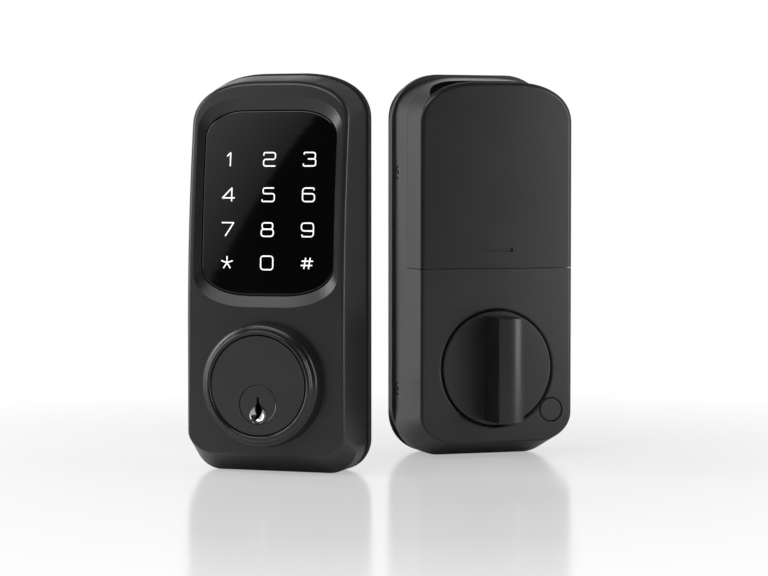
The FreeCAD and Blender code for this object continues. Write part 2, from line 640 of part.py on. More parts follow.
BAY_BACK = "(bay_floor_depth - bay_floor)"
CHASSIS_FRONT = "(chassis_depth + chassis_thickness)"
CHASSIS_BOSSES = both_sides([("inner_boss_high_x", "inner_boss_high_z")]) + [
    ("-inner_boss_low_x", "inner_boss_low_z"), ("inner_boss_foot_x", "inner_boss_foot_z")]
MAIN_FRONT = "(main_board_depth + board_thickness)"
MAIN_BOSSES = both_sides([("main_boss_x", "main_boss_low"), ("main_boss_x", "main_boss_high")])
DIVIDER = "(seam_z - inner_wall)"
SLOPE_INSIDE = "(inner_foot_rise + inner_wall)"
BUTTON_Z = "(turn_z - button_drop)"

inner_housing = piece("inner_housing", "battery")
plate(inner_housing,
      [rounded("-inner_width / 2", "inner_width / 2", "0", "inner_height", "inner_corner")],
      INNER_BACK, "inner_depth")
across(inner_housing,
       [path(("-inner_foot_depth", "0"), ("-inner_depth", "inner_foot_rise"),
             ("-(inner_depth + 1)", "inner_foot_rise"), ("-(inner_depth + 1)", "-1"),
             ("-inner_foot_depth", "-1"))], "inner_width + 1")
cut(inner_housing,
    [box("-inner_width", "inner_width", "seam_z", "inner_height + 1")],
    "shoulder_depth", "inner_depth + 1")
cut(inner_housing, [arched(INNER_WALL_HALF, DIVIDER, "inner_wall", INNER_CORNER)],
    INNER_BACK, "inner_foot_depth - inner_wall")
cut(inner_housing, [arched(INNER_WALL_HALF, DIVIDER, SLOPE_INSIDE, INNER_CORNER)],
    INNER_BACK, FRONT_INSIDE)
ROOF_SPACE = arched(INNER_WALL_HALF, "seam_z", "inner_height - inner_wall", INNER_CORNER)
cut(inner_housing, [ROOF_SPACE], INNER_BACK, BAY_BACK)
cut(inner_housing, [ROOF_SPACE], "bay_floor_depth", "shoulder_depth")
plate(inner_housing, discs(CHASSIS_BOSSES, "inner_boss_radius"), CHASSIS_FRONT,
      f"{FRONT_INSIDE} + inner_wall / 2")
plate(inner_housing, discs(MAIN_BOSSES, "boss_radius"), MAIN_FRONT,
      f"{BAY_BACK} + bay_floor / 2")
cut(inner_housing, discs(CHASSIS_BOSSES, "screw_radius"), CHASSIS_FRONT,
    f"{CHASSIS_FRONT} + screw_grip")
cut(inner_housing, discs(MAIN_BOSSES, "board_screw_radius"), MAIN_FRONT,
    f"{MAIN_FRONT} + frame_thickness")
cut(inner_housing,
    [disc("0", "turn_z", "disc_radius + disc_gap"),
     disc("button_x", BUTTON_Z, "button_radius + button_gap")],
    FRONT_INSIDE, "inner_depth")
stand(inner_housing, "Pocket",
      [box("-cable_half_width", "cable_half_width", f"-({BAY_BACK})",
           f"-({BAY_BACK} - cable_half_height)")], DIVIDER, "seam_z")
across(inner_housing,
       [disc("-side_screw_depth", height, "side_screw_radius + hole_play") for height in SIDE_SCREWS],
       "inner_width")
head_depth = "side_screw_head_thickness + side_screw_sink"
for x in ("inner_width / 2", f"-inner_width / 2 + {head_depth}"):
    across(inner_housing,
           [disc("-side_screw_depth", height, "side_screw_head + hole_play") for height in SIDE_SCREWS],
           head_depth, x, both=False)

side_screws = piece("side_screws", "battery")
HEAD_OUT = "(inner_width / 2 - side_screw_sink)"
HEAD_IN = f"({HEAD_OUT} - side_screw_head_thickness)"
for near, far, radius in ((HEAD_IN, HEAD_OUT, "side_screw_head"),
                          (f"({TAB_OUT} - tab_length)", HEAD_IN, "side_screw_radius")):
    rings = [disc("-side_screw_depth", height, radius) for height in SIDE_SCREWS]
    for start in (near, f"-{far}"):
        extrude(side_screws, "Pad", sketch_on(side_screws, "YZ_Plane", rings, start),
                f"{far} - {near}")

# ---- Battery half: cover, tray, cells and the main circuit board ----
battery_cover = piece("battery_cover", "battery")
COVER_FOOT = "(seam_z + seam_gap)"
plate(battery_cover, [arched("inner_width / 2", COVER_FOOT, "inner_height", "inner_corner")],
      "shoulder_depth + cover_seam", "inner_depth")
cut(battery_cover,
    [arched("inner_width / 2 - cover_wall", f"{COVER_FOOT} - 1", "inner_height - cover_wall",
            "inner_corner - cover_wall")],
    "shoulder_depth + cover_seam", "inner_depth - cover_wall")
cut(battery_cover,
    [box("-notch_width / 2", "notch_width / 2", f"{COVER_FOOT} + notch_rise",
         f"{COVER_FOOT} + notch_rise + notch_height")],
    "inner_depth - notch_sink", "inner_depth")

CELLS = 4
CELL_DEPTH = "(bay_floor_depth + tray_wall + cell_play + cell_radius)"
CELL_END = "(cell_length / 2)"
NUB_END = "(cell_length / 2 + cell_nub)"
TRAY_FOOT = "(seam_z + tray_gap)"
CELL_Z = [f"({TRAY_FOOT} + tray_wall + cell_play + cell_radius + cell_pitch * {index})"
          for index in range(CELLS)]
TRAY_INSIDE = f"({NUB_END} + contact_thickness)"
TRAY_ROOF = f"({CELL_Z[-1]} + cell_radius + cell_play)"

battery_tray = piece("battery_tray", "battery")
tray_box = box(f"-({TRAY_INSIDE} + tray_wall)", f"{TRAY_INSIDE} + tray_wall", TRAY_FOOT,
               f"{TRAY_ROOF} + tray_wall")
plate(battery_tray, [tray_box], "bay_floor_depth", "tray_front")
cut(battery_tray,
    [box(f"-{TRAY_INSIDE}", TRAY_INSIDE, f"{TRAY_FOOT} + tray_wall", TRAY_ROOF)],
    "bay_floor_depth + tray_wall", "tray_front")


def end_on(body, heights, radius, start, length, hollow=None):
    """Round pieces that lie across the tray, one at each height."""
    rings = [disc(f"-{CELL_DEPTH}", height, radius) for height in heights]
    if hollow:
        rings += [disc(f"-{CELL_DEPTH}", height, hollow) for height in heights]
    extrude(body, "Pad", sketch_on(body, "YZ_Plane", rings, start), length)


EVEN, ODD = CELL_Z[0::2], CELL_Z[1::2]
battery_cells = piece("battery_cells", "battery")
end_on(battery_cells, CELL_Z, "cell_radius", f"-{CELL_END}", "cell_length")
end_on(battery_cells, EVEN, "cell_nub_radius", CELL_END, "cell_nub")
end_on(battery_cells, ODD, "cell_nub_radius", f"-{NUB_END}", "cell_nub")

contact_springs = piece("contact_springs", "battery")
spring_bore = "spring_radius - spring_wall * 2"
end_on(contact_springs, EVEN, "spring_radius", f"-{NUB_END}", "cell_nub", spring_bore)
end_on(contact_springs, ODD, "spring_radius", CELL_END, "cell_nub", spring_bore)

contact_plates = piece("contact_plates", "battery")
squares = [box(f"-({CELL_DEPTH} + contact_half)", f"-({CELL_DEPTH} - contact_half)",
               f"{height} - contact_half", f"{height} + contact_half") for height in CELL_Z]
for start in (NUB_END, f"-{TRAY_INSIDE}"):
    extrude(contact_plates, "Pad", sketch_on(contact_plates, "YZ_Plane", squares, start),
            "contact_thickness")

main_board = piece("main_board", "battery")
plate(main_board, [box("-main_board_half", "main_board_half", "seam_z + 1", "main_board_top")],
      "main_board_depth", MAIN_FRONT)
cut(main_board, discs(MAIN_BOSSES, "board_screw_radius + hole_play"),
    "main_board_depth", MAIN_FRONT)

radio_module = piece("radio_module", "battery")
plate(radio_module,
      [box("-radio_width / 2", "radio_width / 2", "radio_z - radio_width / 2",
           "radio_z + radio_width / 2")], MAIN_FRONT, f"{MAIN_FRONT} + radio_thickness")

main_board_screws = piece("main_board_screws", "battery")
screws(main_board_screws, MAIN_BOSSES, "main_board_depth", "board_thickness + frame_thickness",
       "board_screw_radius")

# ---- Thumb turn: the knob, the hub that takes the tailpiece, and its bush ----
DISC_FRONT = "(inner_depth + disc_proud)"
DISC_BACK = f"({DISC_FRONT} - disc_thickness)"
thumb_turn = piece("thumb_turn", "battery")
plate(thumb_turn, [disc("0", "turn_z", "disc_radius")], DISC_BACK, DISC_FRONT)
plate(thumb_turn,
      [rounded("-bar_half_width", "bar_half_width", "turn_z - bar_half_height",
               "turn_z + bar_half_height", "bar_corner")],
      DISC_FRONT, f"{DISC_FRONT} + bar_reach")
plate(thumb_turn, [disc("0", "turn_z", "knob_boss_radius"), disc("0", "turn_z", "hub_radius")],
      f"{DISC_BACK} - knob_boss_length", DISC_BACK)

spindle_hub = piece("spindle_hub", "battery")
plate(spindle_hub, [disc("0", "turn_z", "hub_radius")], "hub_back", DISC_BACK)
cut(spindle_hub,
    [box("-socket_half_width", "socket_half_width", "turn_z - socket_half_height",
         "turn_z + socket_half_height")], "hub_back", "hub_back + socket_length")

hub_bush = piece("hub_bush", "battery")
bush_back = "chassis_depth - bush_flange"
turned(hub_bush,
       [(bush_back, "hub_radius + hub_play"), (bush_back, "bush_flange_radius"),
        ("chassis_depth", "bush_flange_radius"), ("chassis_depth", "bush_radius"),
        (CHASSIS_FRONT, "bush_radius"), (CHASSIS_FRONT, "hub_radius + hub_play")],
       "0", "turn_z")

# ---- Gear train: chassis, bridge, axle, motor and gears ----
IDLER_Z = "(turn_z + (drive_teeth + pinion_teeth) * drive_module / 2)"
MOTOR_X = "((wheel_teeth + motor_teeth) * wheel_module / 2)"
BRIDGE_POSTS = [("-bridge_post_left", "bridge_post_left_z"),
                ("bridge_post_right", "bridge_post_right_z")]
GEAR_BACK = f"({CHASSIS_FRONT} + gear_start)"
WHEEL_BACK = f"({GEAR_BACK} + gear_width + wheel_gap)"
WHEEL_FRONT = f"({WHEEL_BACK} + wheel_width)"

gear_chassis = piece("gear_chassis", "battery")
plate(gear_chassis,
      [arched(f"{INNER_WALL_HALF} - chassis_play", "chassis_top",
              f"{SLOPE_INSIDE} + chassis_play", f"{INNER_CORNER} - chassis_play")],
      "chassis_depth", CHASSIS_FRONT)
plate(gear_chassis, discs(BRIDGE_POSTS, "bridge_post"), CHASSIS_FRONT, "bridge_depth")
SWITCH_TOP = (f"({FRONT_INSIDE} - button_rest_gap - button_flange_thickness"
              " - button_stem_length - switch_show)")
SWITCH_FOOT = f"({SWITCH_TOP} - switch_height)"
plate(gear_chassis, [disc("button_x", BUTTON_Z, "switch_post")], CHASSIS_FRONT,
      f"{SWITCH_FOOT} - switch_board")
cut(gear_chassis,
    discs(CHASSIS_BOSSES, "screw_radius + hole_play") + discs(DOOR_SCREWS, "access_radius")
    + [disc("0", "turn_z", "bush_radius"), disc("0", IDLER_Z, "axle_radius"),
       disc(MOTOR_X, IDLER_Z, "motor_nose")], "chassis_depth", CHASSIS_FRONT)
cut(gear_chassis, discs(BRIDGE_POSTS, "board_screw_radius"),
    "bridge_depth - frame_thickness", "bridge_depth")

chassis_screws = piece("chassis_screws", "battery")
screws(chassis_screws, CHASSIS_BOSSES, "chassis_depth", "chassis_thickness + screw_grip",
       "screw_radius")

gear_bridge = piece("gear_bridge", "battery")
bridge_front = "bridge_depth + bridge_thickness"
plate(gear_bridge, [box("-bridge_left", "bridge_right", "bridge_bottom", "bridge_top")],
      "bridge_depth", bridge_front)
cut(gear_bridge,
    discs(BRIDGE_POSTS, "board_screw_radius + hole_play")
    + [disc("0", IDLER_Z, "axle_radius")], "bridge_depth", bridge_front)

bridge_screws = piece("bridge_screws", "battery")
screws(bridge_screws, BRIDGE_POSTS, f"({bridge_front})", "bridge_thickness + frame_thickness",
       "board_screw_radius", head_in_front=True)

idler_axle = piece("idler_axle", "battery")
plate(idler_axle, [disc("0", IDLER_Z, "axle_radius")], "chassis_depth", bridge_front)

motor = piece("motor", "battery")
plate(motor, [disc(MOTOR_X, IDLER_Z, "motor_radius")], f"{INNER_BACK} + motor_clear",
      "chassis_depth")
plate(motor, [disc(MOTOR_X, IDLER_Z, "motor_nose")], "chassis_depth", CHASSIS_FRONT)
cut(motor, [disc(MOTOR_X, IDLER_Z, "motor_shaft + hub_play")],
    f"{INNER_BACK} + motor_clear * 2", CHASSIS_FRONT)

motor_shaft = piece("motor_shaft", "battery")
plate(motor_shaft, [disc(MOTOR_X, IDLER_Z, "motor_shaft")],
      f"{INNER_BACK} + motor_clear * 2 + turn_gap", f"{WHEEL_FRONT} + turn_gap")

ADDENDUM = 0.6
DEDENDUM = 0.9
PRESSURE_ANGLE = math.radians(20)


def gear(teeth, module, first_tooth, back, front, x, z):
    """A spur gear with involute teeth, one of them pointing first_tooth degrees up from +x."""
    pitch = teeth * module / 2
    base = pitch * math.cos(PRESSURE_ANGLE)
    tip = pitch + ADDENDUM * module
    root = pitch - DEDENDUM * module

    def involute(radius):
        angle = math.acos(base / radius)
        return math.tan(angle) - angle

    def half_angle(radius):
        at_pitch = math.pi / (2 * teeth) - size("backlash") / (4 * pitch)
        return at_pitch + involute(pitch) - involute(max(radius, base))

    def point(radius, angle):
        return Vector(radius * math.cos(angle), radius * math.sin(angle), 0)

    start = max(root, base)
    steps = [start + (tip - start) * index / 4 for index in range(5)]
    edges = []
    for index in range(teeth):
        middle = math.radians(first_tooth) + 2 * math.pi * index / teeth
        rising = [point(radius, middle - half_angle(radius)) for radius in steps]
        falling = [point(radius, middle + half_angle(radius)) for radius in reversed(steps)]
        foot = point(root, middle - half_angle(start))
        heel = point(root, middle + half_angle(start))
        next_foot = point(root, middle + 2 * math.pi / teeth - half_angle(start))
        valley = point(root, middle + math.pi / teeth)
        for flank in (rising, falling):
            curve = Part.BSplineCurve()
            curve.interpolate(flank)
            edges.append(curve.toShape())
        edges.append(Part.Arc(rising[-1], point(tip, middle), falling[0]).toShape())
        edges.append(Part.Arc(heel, valley, next_foot).toShape())
        if root < base:
            edges.append(Part.LineSegment(foot, rising[0]).toShape())
            edges.append(Part.LineSegment(falling[-1], heel).toShape())
    outline = Part.Wire(Part.__sortEdges__(edges))
    wheel = Part.Face(outline).extrude(Vector(0, 0, size(f"({front}) - ({back})")))
    wheel.rotate(Vector(0, 0, 0), Vector(1, 0, 0), 90)
    wheel.translate(Vector(size(x), -size(back), size(z)))
    return wheel


def round_bar(radius, back, front, x, z):
    """A plain round bar along the depth."""
    length = size(f"({front}) - ({back})")
    centre = Vector(size(x), -size(back), size(z))
    return Part.makeCylinder(size(radius), length, centre, Vector(0, -1, 0))


def gear_piece(label, solid):
    """Keep a gear's solid as a sub-part of the battery half."""
    feature = doc.addObject("Part::Feature", label)
    feature.Label = label
    feature.Shape = solid
    place(feature, "battery")


DRIVE, PINION = int(size("drive_teeth")), int(size("pinion_teeth"))
WHEEL, MOTOR = int(size("wheel_teeth")), int(size("motor_teeth"))
UP, DOWN, RIGHT, LEFT = 90, 270, 0, 180

drive = gear(DRIVE, size("drive_module"), UP, GEAR_BACK, f"{GEAR_BACK} + gear_width",
             "0", "turn_z")
hub_bore = round_bar("hub_radius", GEAR_BACK, f"{GEAR_BACK} + gear_width", "0", "turn_z")
gear_piece("drive_gear", drive.cut(hub_bore))

# A gap of the pinion faces the drive gear's tooth, and a gap of the motor's faces the wheel's.
pinion = gear(PINION, size("drive_module"), DOWN + 180 / PINION,
              f"{CHASSIS_FRONT} + turn_gap", WHEEL_BACK, "0", IDLER_Z)
wheel = gear(WHEEL, size("wheel_module"), RIGHT, WHEEL_BACK, WHEEL_FRONT, "0", IDLER_Z)
spacer = round_bar("axle_radius * 2", WHEEL_FRONT, "bridge_depth - turn_gap", "0", IDLER_Z)
axle_bore = round_bar("axle_radius + axle_play", CHASSIS_FRONT, "bridge_depth", "0", IDLER_Z)
gear_piece("compound_gear", pinion.fuse([wheel, spacer]).cut(axle_bore))

MOTOR_GEAR_BACK = f"({WHEEL_BACK} - motor_pinion_extra / 2)"
MOTOR_GEAR_FRONT = f"({WHEEL_FRONT} + motor_pinion_extra / 2)"
motor_gear = gear(MOTOR, size("wheel_module"), LEFT + 180 / MOTOR, MOTOR_GEAR_BACK,
                  MOTOR_GEAR_FRONT, MOTOR_X, IDLER_Z)
shaft_bore = round_bar("motor_shaft", MOTOR_GEAR_BACK, MOTOR_GEAR_FRONT, MOTOR_X, IDLER_Z)
gear_piece("motor_pinion", motor_gear.cut(shaft_bore))

# ---- Set button and the switch behind it ----
FLANGE_FRONT = f"({FRONT_INSIDE} - button_rest_gap)"
FLANGE_BACK = f"({FLANGE_FRONT} - button_flange_thickness)"
STEM_BACK = f"({FLANGE_BACK} - button_stem_length)"
set_button = piece("set_button", "battery")
plate(set_button, [disc("button_x", BUTTON_Z, "button_flange")], FLANGE_BACK, FLANGE_FRONT)
plate(set_button, [disc("button_x", BUTTON_Z, "button_radius")], FLANGE_FRONT, "inner_depth")
plate(set_button, [disc("button_x", BUTTON_Z, "button_stem")], STEM_BACK, FLANGE_BACK)

switch_plunger = piece("switch_plunger", "battery")
plate(switch_plunger, [disc("button_x", BUTTON_Z, "plunger_radius")],
      f"{STEM_BACK} - plunger_length", STEM_BACK)

SWITCH_SQUARE = box("button_x - switch_half", "button_x + switch_half",
                    f"{BUTTON_Z} - switch_half", f"{BUTTON_Z} + switch_half")
button_switch = piece("button_switch", "battery")
plate(button_switch, [SWITCH_SQUARE], SWITCH_FOOT, SWITCH_TOP)
cut(button_switch, [disc("button_x", BUTTON_Z, "plunger_radius + plunger_play")],
    f"{SWITCH_TOP} - switch_well", SWITCH_TOP)

switch_board = piece("switch_board", "battery")
plate(switch_board,
      [box("button_x - switch_board_half", "button_x + switch_board_half",
           f"{BUTTON_Z} - switch_board_half", f"{BUTTON_Z} + switch_board_half")],
      f"{SWITCH_FOOT} - switch_board", SWITCH_FOOT)

# The row's origin is the middle of the foot of the box that holds everything.
doc.recompute()
whole = FreeCAD.BoundBox()
for thing in SUBPARTS:
    whole.add(thing.Shape.BoundBox)
for name, middle in (("row_x", whole.Center.x), ("row_y", whole.Center.y)):
    cell = f"B{list(SIZES).index(name) + 1}"
    sheet.set(cell, str(round(size(name) - middle, 4)))
doc.recompute()

broken = [thing.Label for thing in doc.Objects if {"Invalid", "Error"} & set(thing.State)]
assert not broken, f"these failed: {broken}"
os.makedirs("parts", exist_ok=True)
for thing in SUBPARTS:
    assert not thing.Shape.isNull() and thing.Shape.isValid(), f"{thing.Label} has no valid shape"
    assert thing.Shape.Solids, f"{thing.Label} holds no solid"
    thing.Shape.exportStep(f"parts/{thing.Label}.step")
    print(f"{thing.Label}: {len(thing.Shape.Solids)} solid(s), {thing.Shape.Volume:.1f} mm3")
print("whole:", whole.XLength, whole.YLength, whole.ZLength, "foot at", whole.ZMin)
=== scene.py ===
"""Looks of the keypad smart lock: the keypad half and the battery half, standing side by side.

Pieces are drawn in millimetres about their own half's origin, at the bottom centre of the face
that meets the door, with x to the right, z up and the front towards -Y. Then they are stood in
place.
"""
import bpy
import math
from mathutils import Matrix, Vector


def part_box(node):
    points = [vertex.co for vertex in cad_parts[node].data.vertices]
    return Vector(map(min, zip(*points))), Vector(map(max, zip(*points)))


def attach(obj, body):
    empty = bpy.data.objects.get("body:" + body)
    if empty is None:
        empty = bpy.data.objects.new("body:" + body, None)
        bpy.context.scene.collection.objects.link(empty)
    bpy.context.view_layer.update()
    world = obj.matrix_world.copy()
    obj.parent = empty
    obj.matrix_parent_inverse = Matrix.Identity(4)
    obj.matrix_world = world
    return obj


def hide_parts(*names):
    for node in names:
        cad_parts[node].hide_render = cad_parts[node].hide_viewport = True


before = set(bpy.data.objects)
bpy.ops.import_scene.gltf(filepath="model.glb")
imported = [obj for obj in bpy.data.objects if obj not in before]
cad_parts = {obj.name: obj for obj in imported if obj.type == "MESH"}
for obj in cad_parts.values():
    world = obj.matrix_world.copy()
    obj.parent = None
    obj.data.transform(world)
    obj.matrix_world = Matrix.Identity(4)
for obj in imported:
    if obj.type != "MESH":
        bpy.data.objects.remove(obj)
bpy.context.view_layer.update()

# ---- Door gasket ----
# A moulded black rubber ring that the keypad half squashes against the door. It stands a
# millimetre proud of the casing all round, with soft edges, and its matt skin picks up dust.

GASKET_LOW, GASKET_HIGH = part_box("door_gasket")
KEYPAD_HALF = Vector(((GASKET_LOW.x + GASKET_HIGH.x) / 2, GASKET_HIGH.y, GASKET_LOW.z))


def work_on(piece):
    """Leave only this piece selected and active, outside edit mode."""
    if bpy.context.mode != "OBJECT":
        bpy.ops.object.mode_set(mode="OBJECT")
    bpy.ops.object.select_all(action="DESELECT")
    if piece:
        bpy.context.view_layer.objects.active = piece
        piece.select_set(True)


def pick(piece, kind, test):
    """In edit mode, select the vertices, edges or faces that pass a test."""
    work_on(piece)
    bpy.ops.object.mode_set(mode="EDIT")
    bpy.ops.mesh.select_mode(type=kind)
    bpy.ops.mesh.select_all(action="DESELECT")
    bpy.ops.object.mode_set(mode="OBJECT")
    mesh = piece.data
    if kind == "VERT":
        for vertex in mesh.vertices:
            vertex.select = test(vertex.co)
    elif kind == "EDGE":
        for edge in mesh.edges:
            edge.select = test(*(mesh.vertices[i].co for i in edge.vertices))
    else:
        for face in mesh.polygons:
            face.select = test(face.center, face.normal)
    bpy.ops.object.mode_set(mode="EDIT")


def block(name, left, right, back, front, bottom, top):
    """A block between two sides, two depths and two heights."""
    work_on(None)
    bpy.ops.mesh.primitive_cube_add(
        size=1, location=((left + right) / 2, -(back + front) / 2, (bottom + top) / 2))
    piece = bpy.context.active_object
    piece.name = name
    piece.scale = (right - left, front - back, top - bottom)
    bpy.ops.object.transform_apply(location=True, rotation=False, scale=True)
    return piece


def round_corners(piece, radius, steps, fullness=0.5, only=lambda spot: True):
    """Round the edges that run along the depth."""
    pick(piece, "EDGE", lambda a, b: abs(a.x - b.x) + abs(a.z - b.z) < 1e-3 and only(a))
    bpy.ops.mesh.bevel(offset=radius, segments=steps, profile=fullness, affect="EDGES",
                       clamp_overlap=False)


def upright_outline(name, half, back, front, height, top_reach, top_rise, foot_corner):
    """A block with wide, low round corners at the top and smaller ones at the foot."""
    piece = block(name, -half, half, back, front, 0, height)
    round_corners(piece, foot_corner, 14, only=lambda spot: spot.z < 1)
    work_on(piece)
    round_corners(piece, top_reach, 22, 0.54, only=lambda spot: spot.z > height - 1)
    pick(piece, "VERT", lambda spot: spot.z > height - top_reach - 0.01)
    bpy.ops.transform.resize(value=(1, 1, top_rise / top_reach), center_override=(0, 0, height))
    work_on(piece)
    return piece


def soften(piece, width, steps=3, angle=30):
    """Ease the sharp edges and smooth the shading between them."""
    work_on(piece)
    ease = piece.modifiers.new("ease", "BEVEL")
    ease.width = width
    ease.segments = steps
    ease.limit_method = "ANGLE"
    ease.angle_limit = math.radians(angle)
    ease.harden_normals = False
    bpy.ops.object.modifier_apply(modifier=ease.name)
    smooth(piece)


def smooth(piece, angle=35):
    """Shade smooth, with the flat faces kept flat."""
    work_on(piece)
    bpy.ops.object.shade_smooth_by_angle(angle=math.radians(angle))
    even = piece.modifiers.new("even", "WEIGHTED_NORMAL")
    even.keep_sharp = True
    bpy.ops.object.modifier_apply(modifier=even.name)


def stand(piece, body, slot, *nodes):
    """Stand a finished keypad-half piece in its place."""
    settle(piece, KEYPAD_HALF, 0)
    finish_piece(piece, body, nodes)


def settle(piece, origin, turn):
    """Bring a piece from millimetres about its half's origin to metres in the row."""
    work_on(piece)
    piece.scale = (0.001, 0.001, 0.001)
    piece.rotation_euler = (0, 0, turn)
    piece.location = origin
    bpy.ops.object.transform_apply(location=True, rotation=True, scale=True)


def finish_piece(piece, body, nodes):
    """Say what a piece rides on and which solids it stands for."""
    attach(piece, body)
    if nodes:
        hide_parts(*nodes)


def surface(name, light, dark, patch, rough, grain, grain_height, metal=0.0, stretch=(1, 1, 1)):
    """A material whose colour and gloss drift a little and whose skin has a fine grain."""
    material = bpy.data.materials.new(name)
    material.use_nodes = True
    nodes, links = material.node_tree.nodes, material.node_tree.links
    shader = nodes["Principled BSDF"]
    shader.inputs["Metallic"].default_value = metal
    spots = nodes.new("ShaderNodeTexCoord")
    turned = nodes.new("ShaderNodeMapping")
    turned.inputs["Scale"].default_value = stretch
    links.new(spots.outputs["Object"], turned.inputs["Vector"])
    drift = nodes.new("ShaderNodeTexNoise")
    drift.inputs["Scale"].default_value = patch
    drift.inputs["Detail"].default_value = 3
    links.new(turned.outputs["Vector"], drift.inputs["Vector"])
    shades = nodes.new("ShaderNodeValToRGB")
    shades.color_ramp.elements[0].position = 0.3
    shades.color_ramp.elements[0].color = (*dark, 1)
    shades.color_ramp.elements[1].position = 0.7
    shades.color_ramp.elements[1].color = (*light, 1)
    links.new(drift.outputs["Fac"], shades.inputs["Fac"])
    links.new(shades.outputs["Color"], shader.inputs["Base Color"])
    gloss = nodes.new("ShaderNodeMapRange")
    gloss.inputs["To Min"].default_value = rough[0]
    gloss.inputs["To Max"].default_value = rough[1]
    links.new(drift.outputs["Fac"], gloss.inputs["Value"])
    links.new(gloss.outputs["Result"], shader.inputs["Roughness"])
    skin = nodes.new("ShaderNodeTexNoise")
    skin.inputs["Scale"].default_value = grain
    skin.inputs["Detail"].default_value = 2
    links.new(turned.outputs["Vector"], skin.inputs["Vector"])
    raised = nodes.new("ShaderNodeBump")
    raised.inputs["Strength"].default_value = 0.6
    raised.inputs["Distance"].default_value = grain_height
    links.new(skin.outputs["Fac"], raised.inputs["Height"])
    links.new(raised.outputs["Normal"], shader.inputs["Normal"])
    return material


def coat(material, *pieces):
    """Give pieces one material all over."""
    for piece in pieces:
        piece.data.materials.clear()
        piece.data.materials.append(material)


rubber = surface("moulded_rubber", (0.007, 0.007, 0.0075), (0.0045, 0.0045, 0.005),
                 160, (0.55, 0.7), 2600, 0.00004)

gasket = upright_outline("gasket_ring", 33.5, 0, 3, 149, 27, 17.5, 12)
pick(gasket, "FACE", lambda spot, normal: abs(normal.y) > 0.9)
bpy.ops.mesh.inset(thickness=5, depth=0)
bpy.ops.mesh.bridge_edge_loops()
soften(gasket, 0.6)
coat(rubber, gasket)
stand(gasket, "keypad_unit", "rubber", "door_gasket")

# ---- Front casing ----
# The die-cast zinc shell of the keypad half, sprayed satin black. Its front leans back in one
# long curve above the collar, its foot is cut away, and a sunk bed with sloping walls takes the
# glass. It is hollow, and six screws through the door plate hold it.

BEND = 55
CASE_FRONT = 25
CYLINDER_HEIGHT = 33.5
LEAN_RADIUS = (93 ** 2 + 8.5 ** 2) / (2 * 8.5)


def front_depth(height):
    """How far the casing's front stands off the door at a height."""
    if height < BEND:
        return CASE_FRONT
    return CASE_FRONT - LEAN_RADIUS + math.sqrt(LEAN_RADIUS ** 2 - (height - BEND) ** 2)


def slice_level(piece, heights):
    """Cut level edges round a piece."""
    for height in heights:
        pick(piece, "FACE", lambda spot, normal: True)
        bpy.ops.mesh.bisect(plane_co=(0, 0, height), plane_no=(0, 0, 1))
    work_on(piece)


def lean_back(piece, still, full):
    """Lean a piece back on the casing's curve: not at all at one depth, fully past another."""
    work_on(piece)
    for vertex in piece.data.vertices:
        share = min(max((-vertex.co.y - still) / (full - still), 0), 1)
        vertex.co.y += share * (CASE_FRONT - front_depth(vertex.co.z))


def carve(piece, tool):
    """Cut a tool out of a piece, and remove the tool."""
    work_on(piece)
    cutting = piece.modifiers.new("cutting", "BOOLEAN")
    cutting.operation = "DIFFERENCE"
    cutting.object = tool
    cutting.solver = "EXACT"
    bpy.ops.object.modifier_apply(modifier=cutting.name)
    bpy.data.objects.remove(tool)


def pressed_front(name, half, height, corners, back, middle, front, foot, side_draft, top_draft,
                  fillet, lean):
    """A half's outer form: an upright shell with a drafted front, a cut-away foot, and a soft
    edge all round the front."""
    piece = upright_outline(name, half, back, middle, height, *corners)
    pick(piece, "FACE", lambda spot, normal: normal.y < -0.9)
    bpy.ops.mesh.extrude_region_move(TRANSFORM_OT_translate={"value": (0, middle - front, 0)})
    at_front = lambda spot: abs(spot.y + front) < 1e-3
    pick(piece, "VERT", at_front)
    bpy.ops.transform.resize(value=((half - side_draft) / half, 1, 1),
                             center_override=(0, 0, 0))
    pick(piece, "VERT", lambda spot: at_front(spot) and spot.z < 30)
    bpy.ops.transform.resize(value=(1, 1, (30 - foot) / 30), center_override=(0, 0, 30))
    pick(piece, "VERT", lambda spot: at_front(spot) and spot.z > height - 40)
    bpy.ops.transform.resize(value=(1, 1, (40 - top_draft) / 40),
                             center_override=(0, 0, height - 40))
    pick(piece, "VERT", lambda spot: abs(spot.y + middle) < 1e-3 and spot.z > 40)
    bpy.ops.transform.translate(value=(0, middle - 7, 0))
    work_on(piece)
    edging = piece.data.attributes.new("bevel_weight_edge", "FLOAT", "EDGE")
    for edge in piece.data.edges:
        ends = [piece.data.vertices[index].co for index in edge.vertices]
        if all(at_front(end) for end in ends):
            rise = min(end.z for end in ends) - foot
            edging.data[edge.index].value = min(max(0.34, rise / 14), 1)
    ease = piece.modifiers.new("ease", "BEVEL")
    ease.limit_method = "WEIGHT"
    ease.width = fillet
    ease.segments = 7
    bpy.ops.object.modifier_apply(modifier=ease.name)
    pick(piece, "VERT", lambda spot: True)
    bpy.ops.mesh.remove_doubles(threshold=0.01)
    work_on(piece)
    if lean:
        slice_level(piece, [BEND + 3 * step for step in range(31)])
        lean_back(piece, 7, front - fillet)
    return piece


casing = pressed_front("casing_shell", 32.5, 148, (26, 16.5, 11), 3, 14, CASE_FRONT, 7.6, 1.6,
                       2.4, 3.4, True)
pick(casing, "FACE", lambda spot, normal: normal.y > 0.9)
bpy.ops.mesh.delete(type="FACE")
work_on(casing)
wall = casing.modifiers.new("wall", "SOLIDIFY")
wall.thickness = 2.5
wall.offset = -1
bpy.ops.object.modifier_apply(modifier=wall.name)


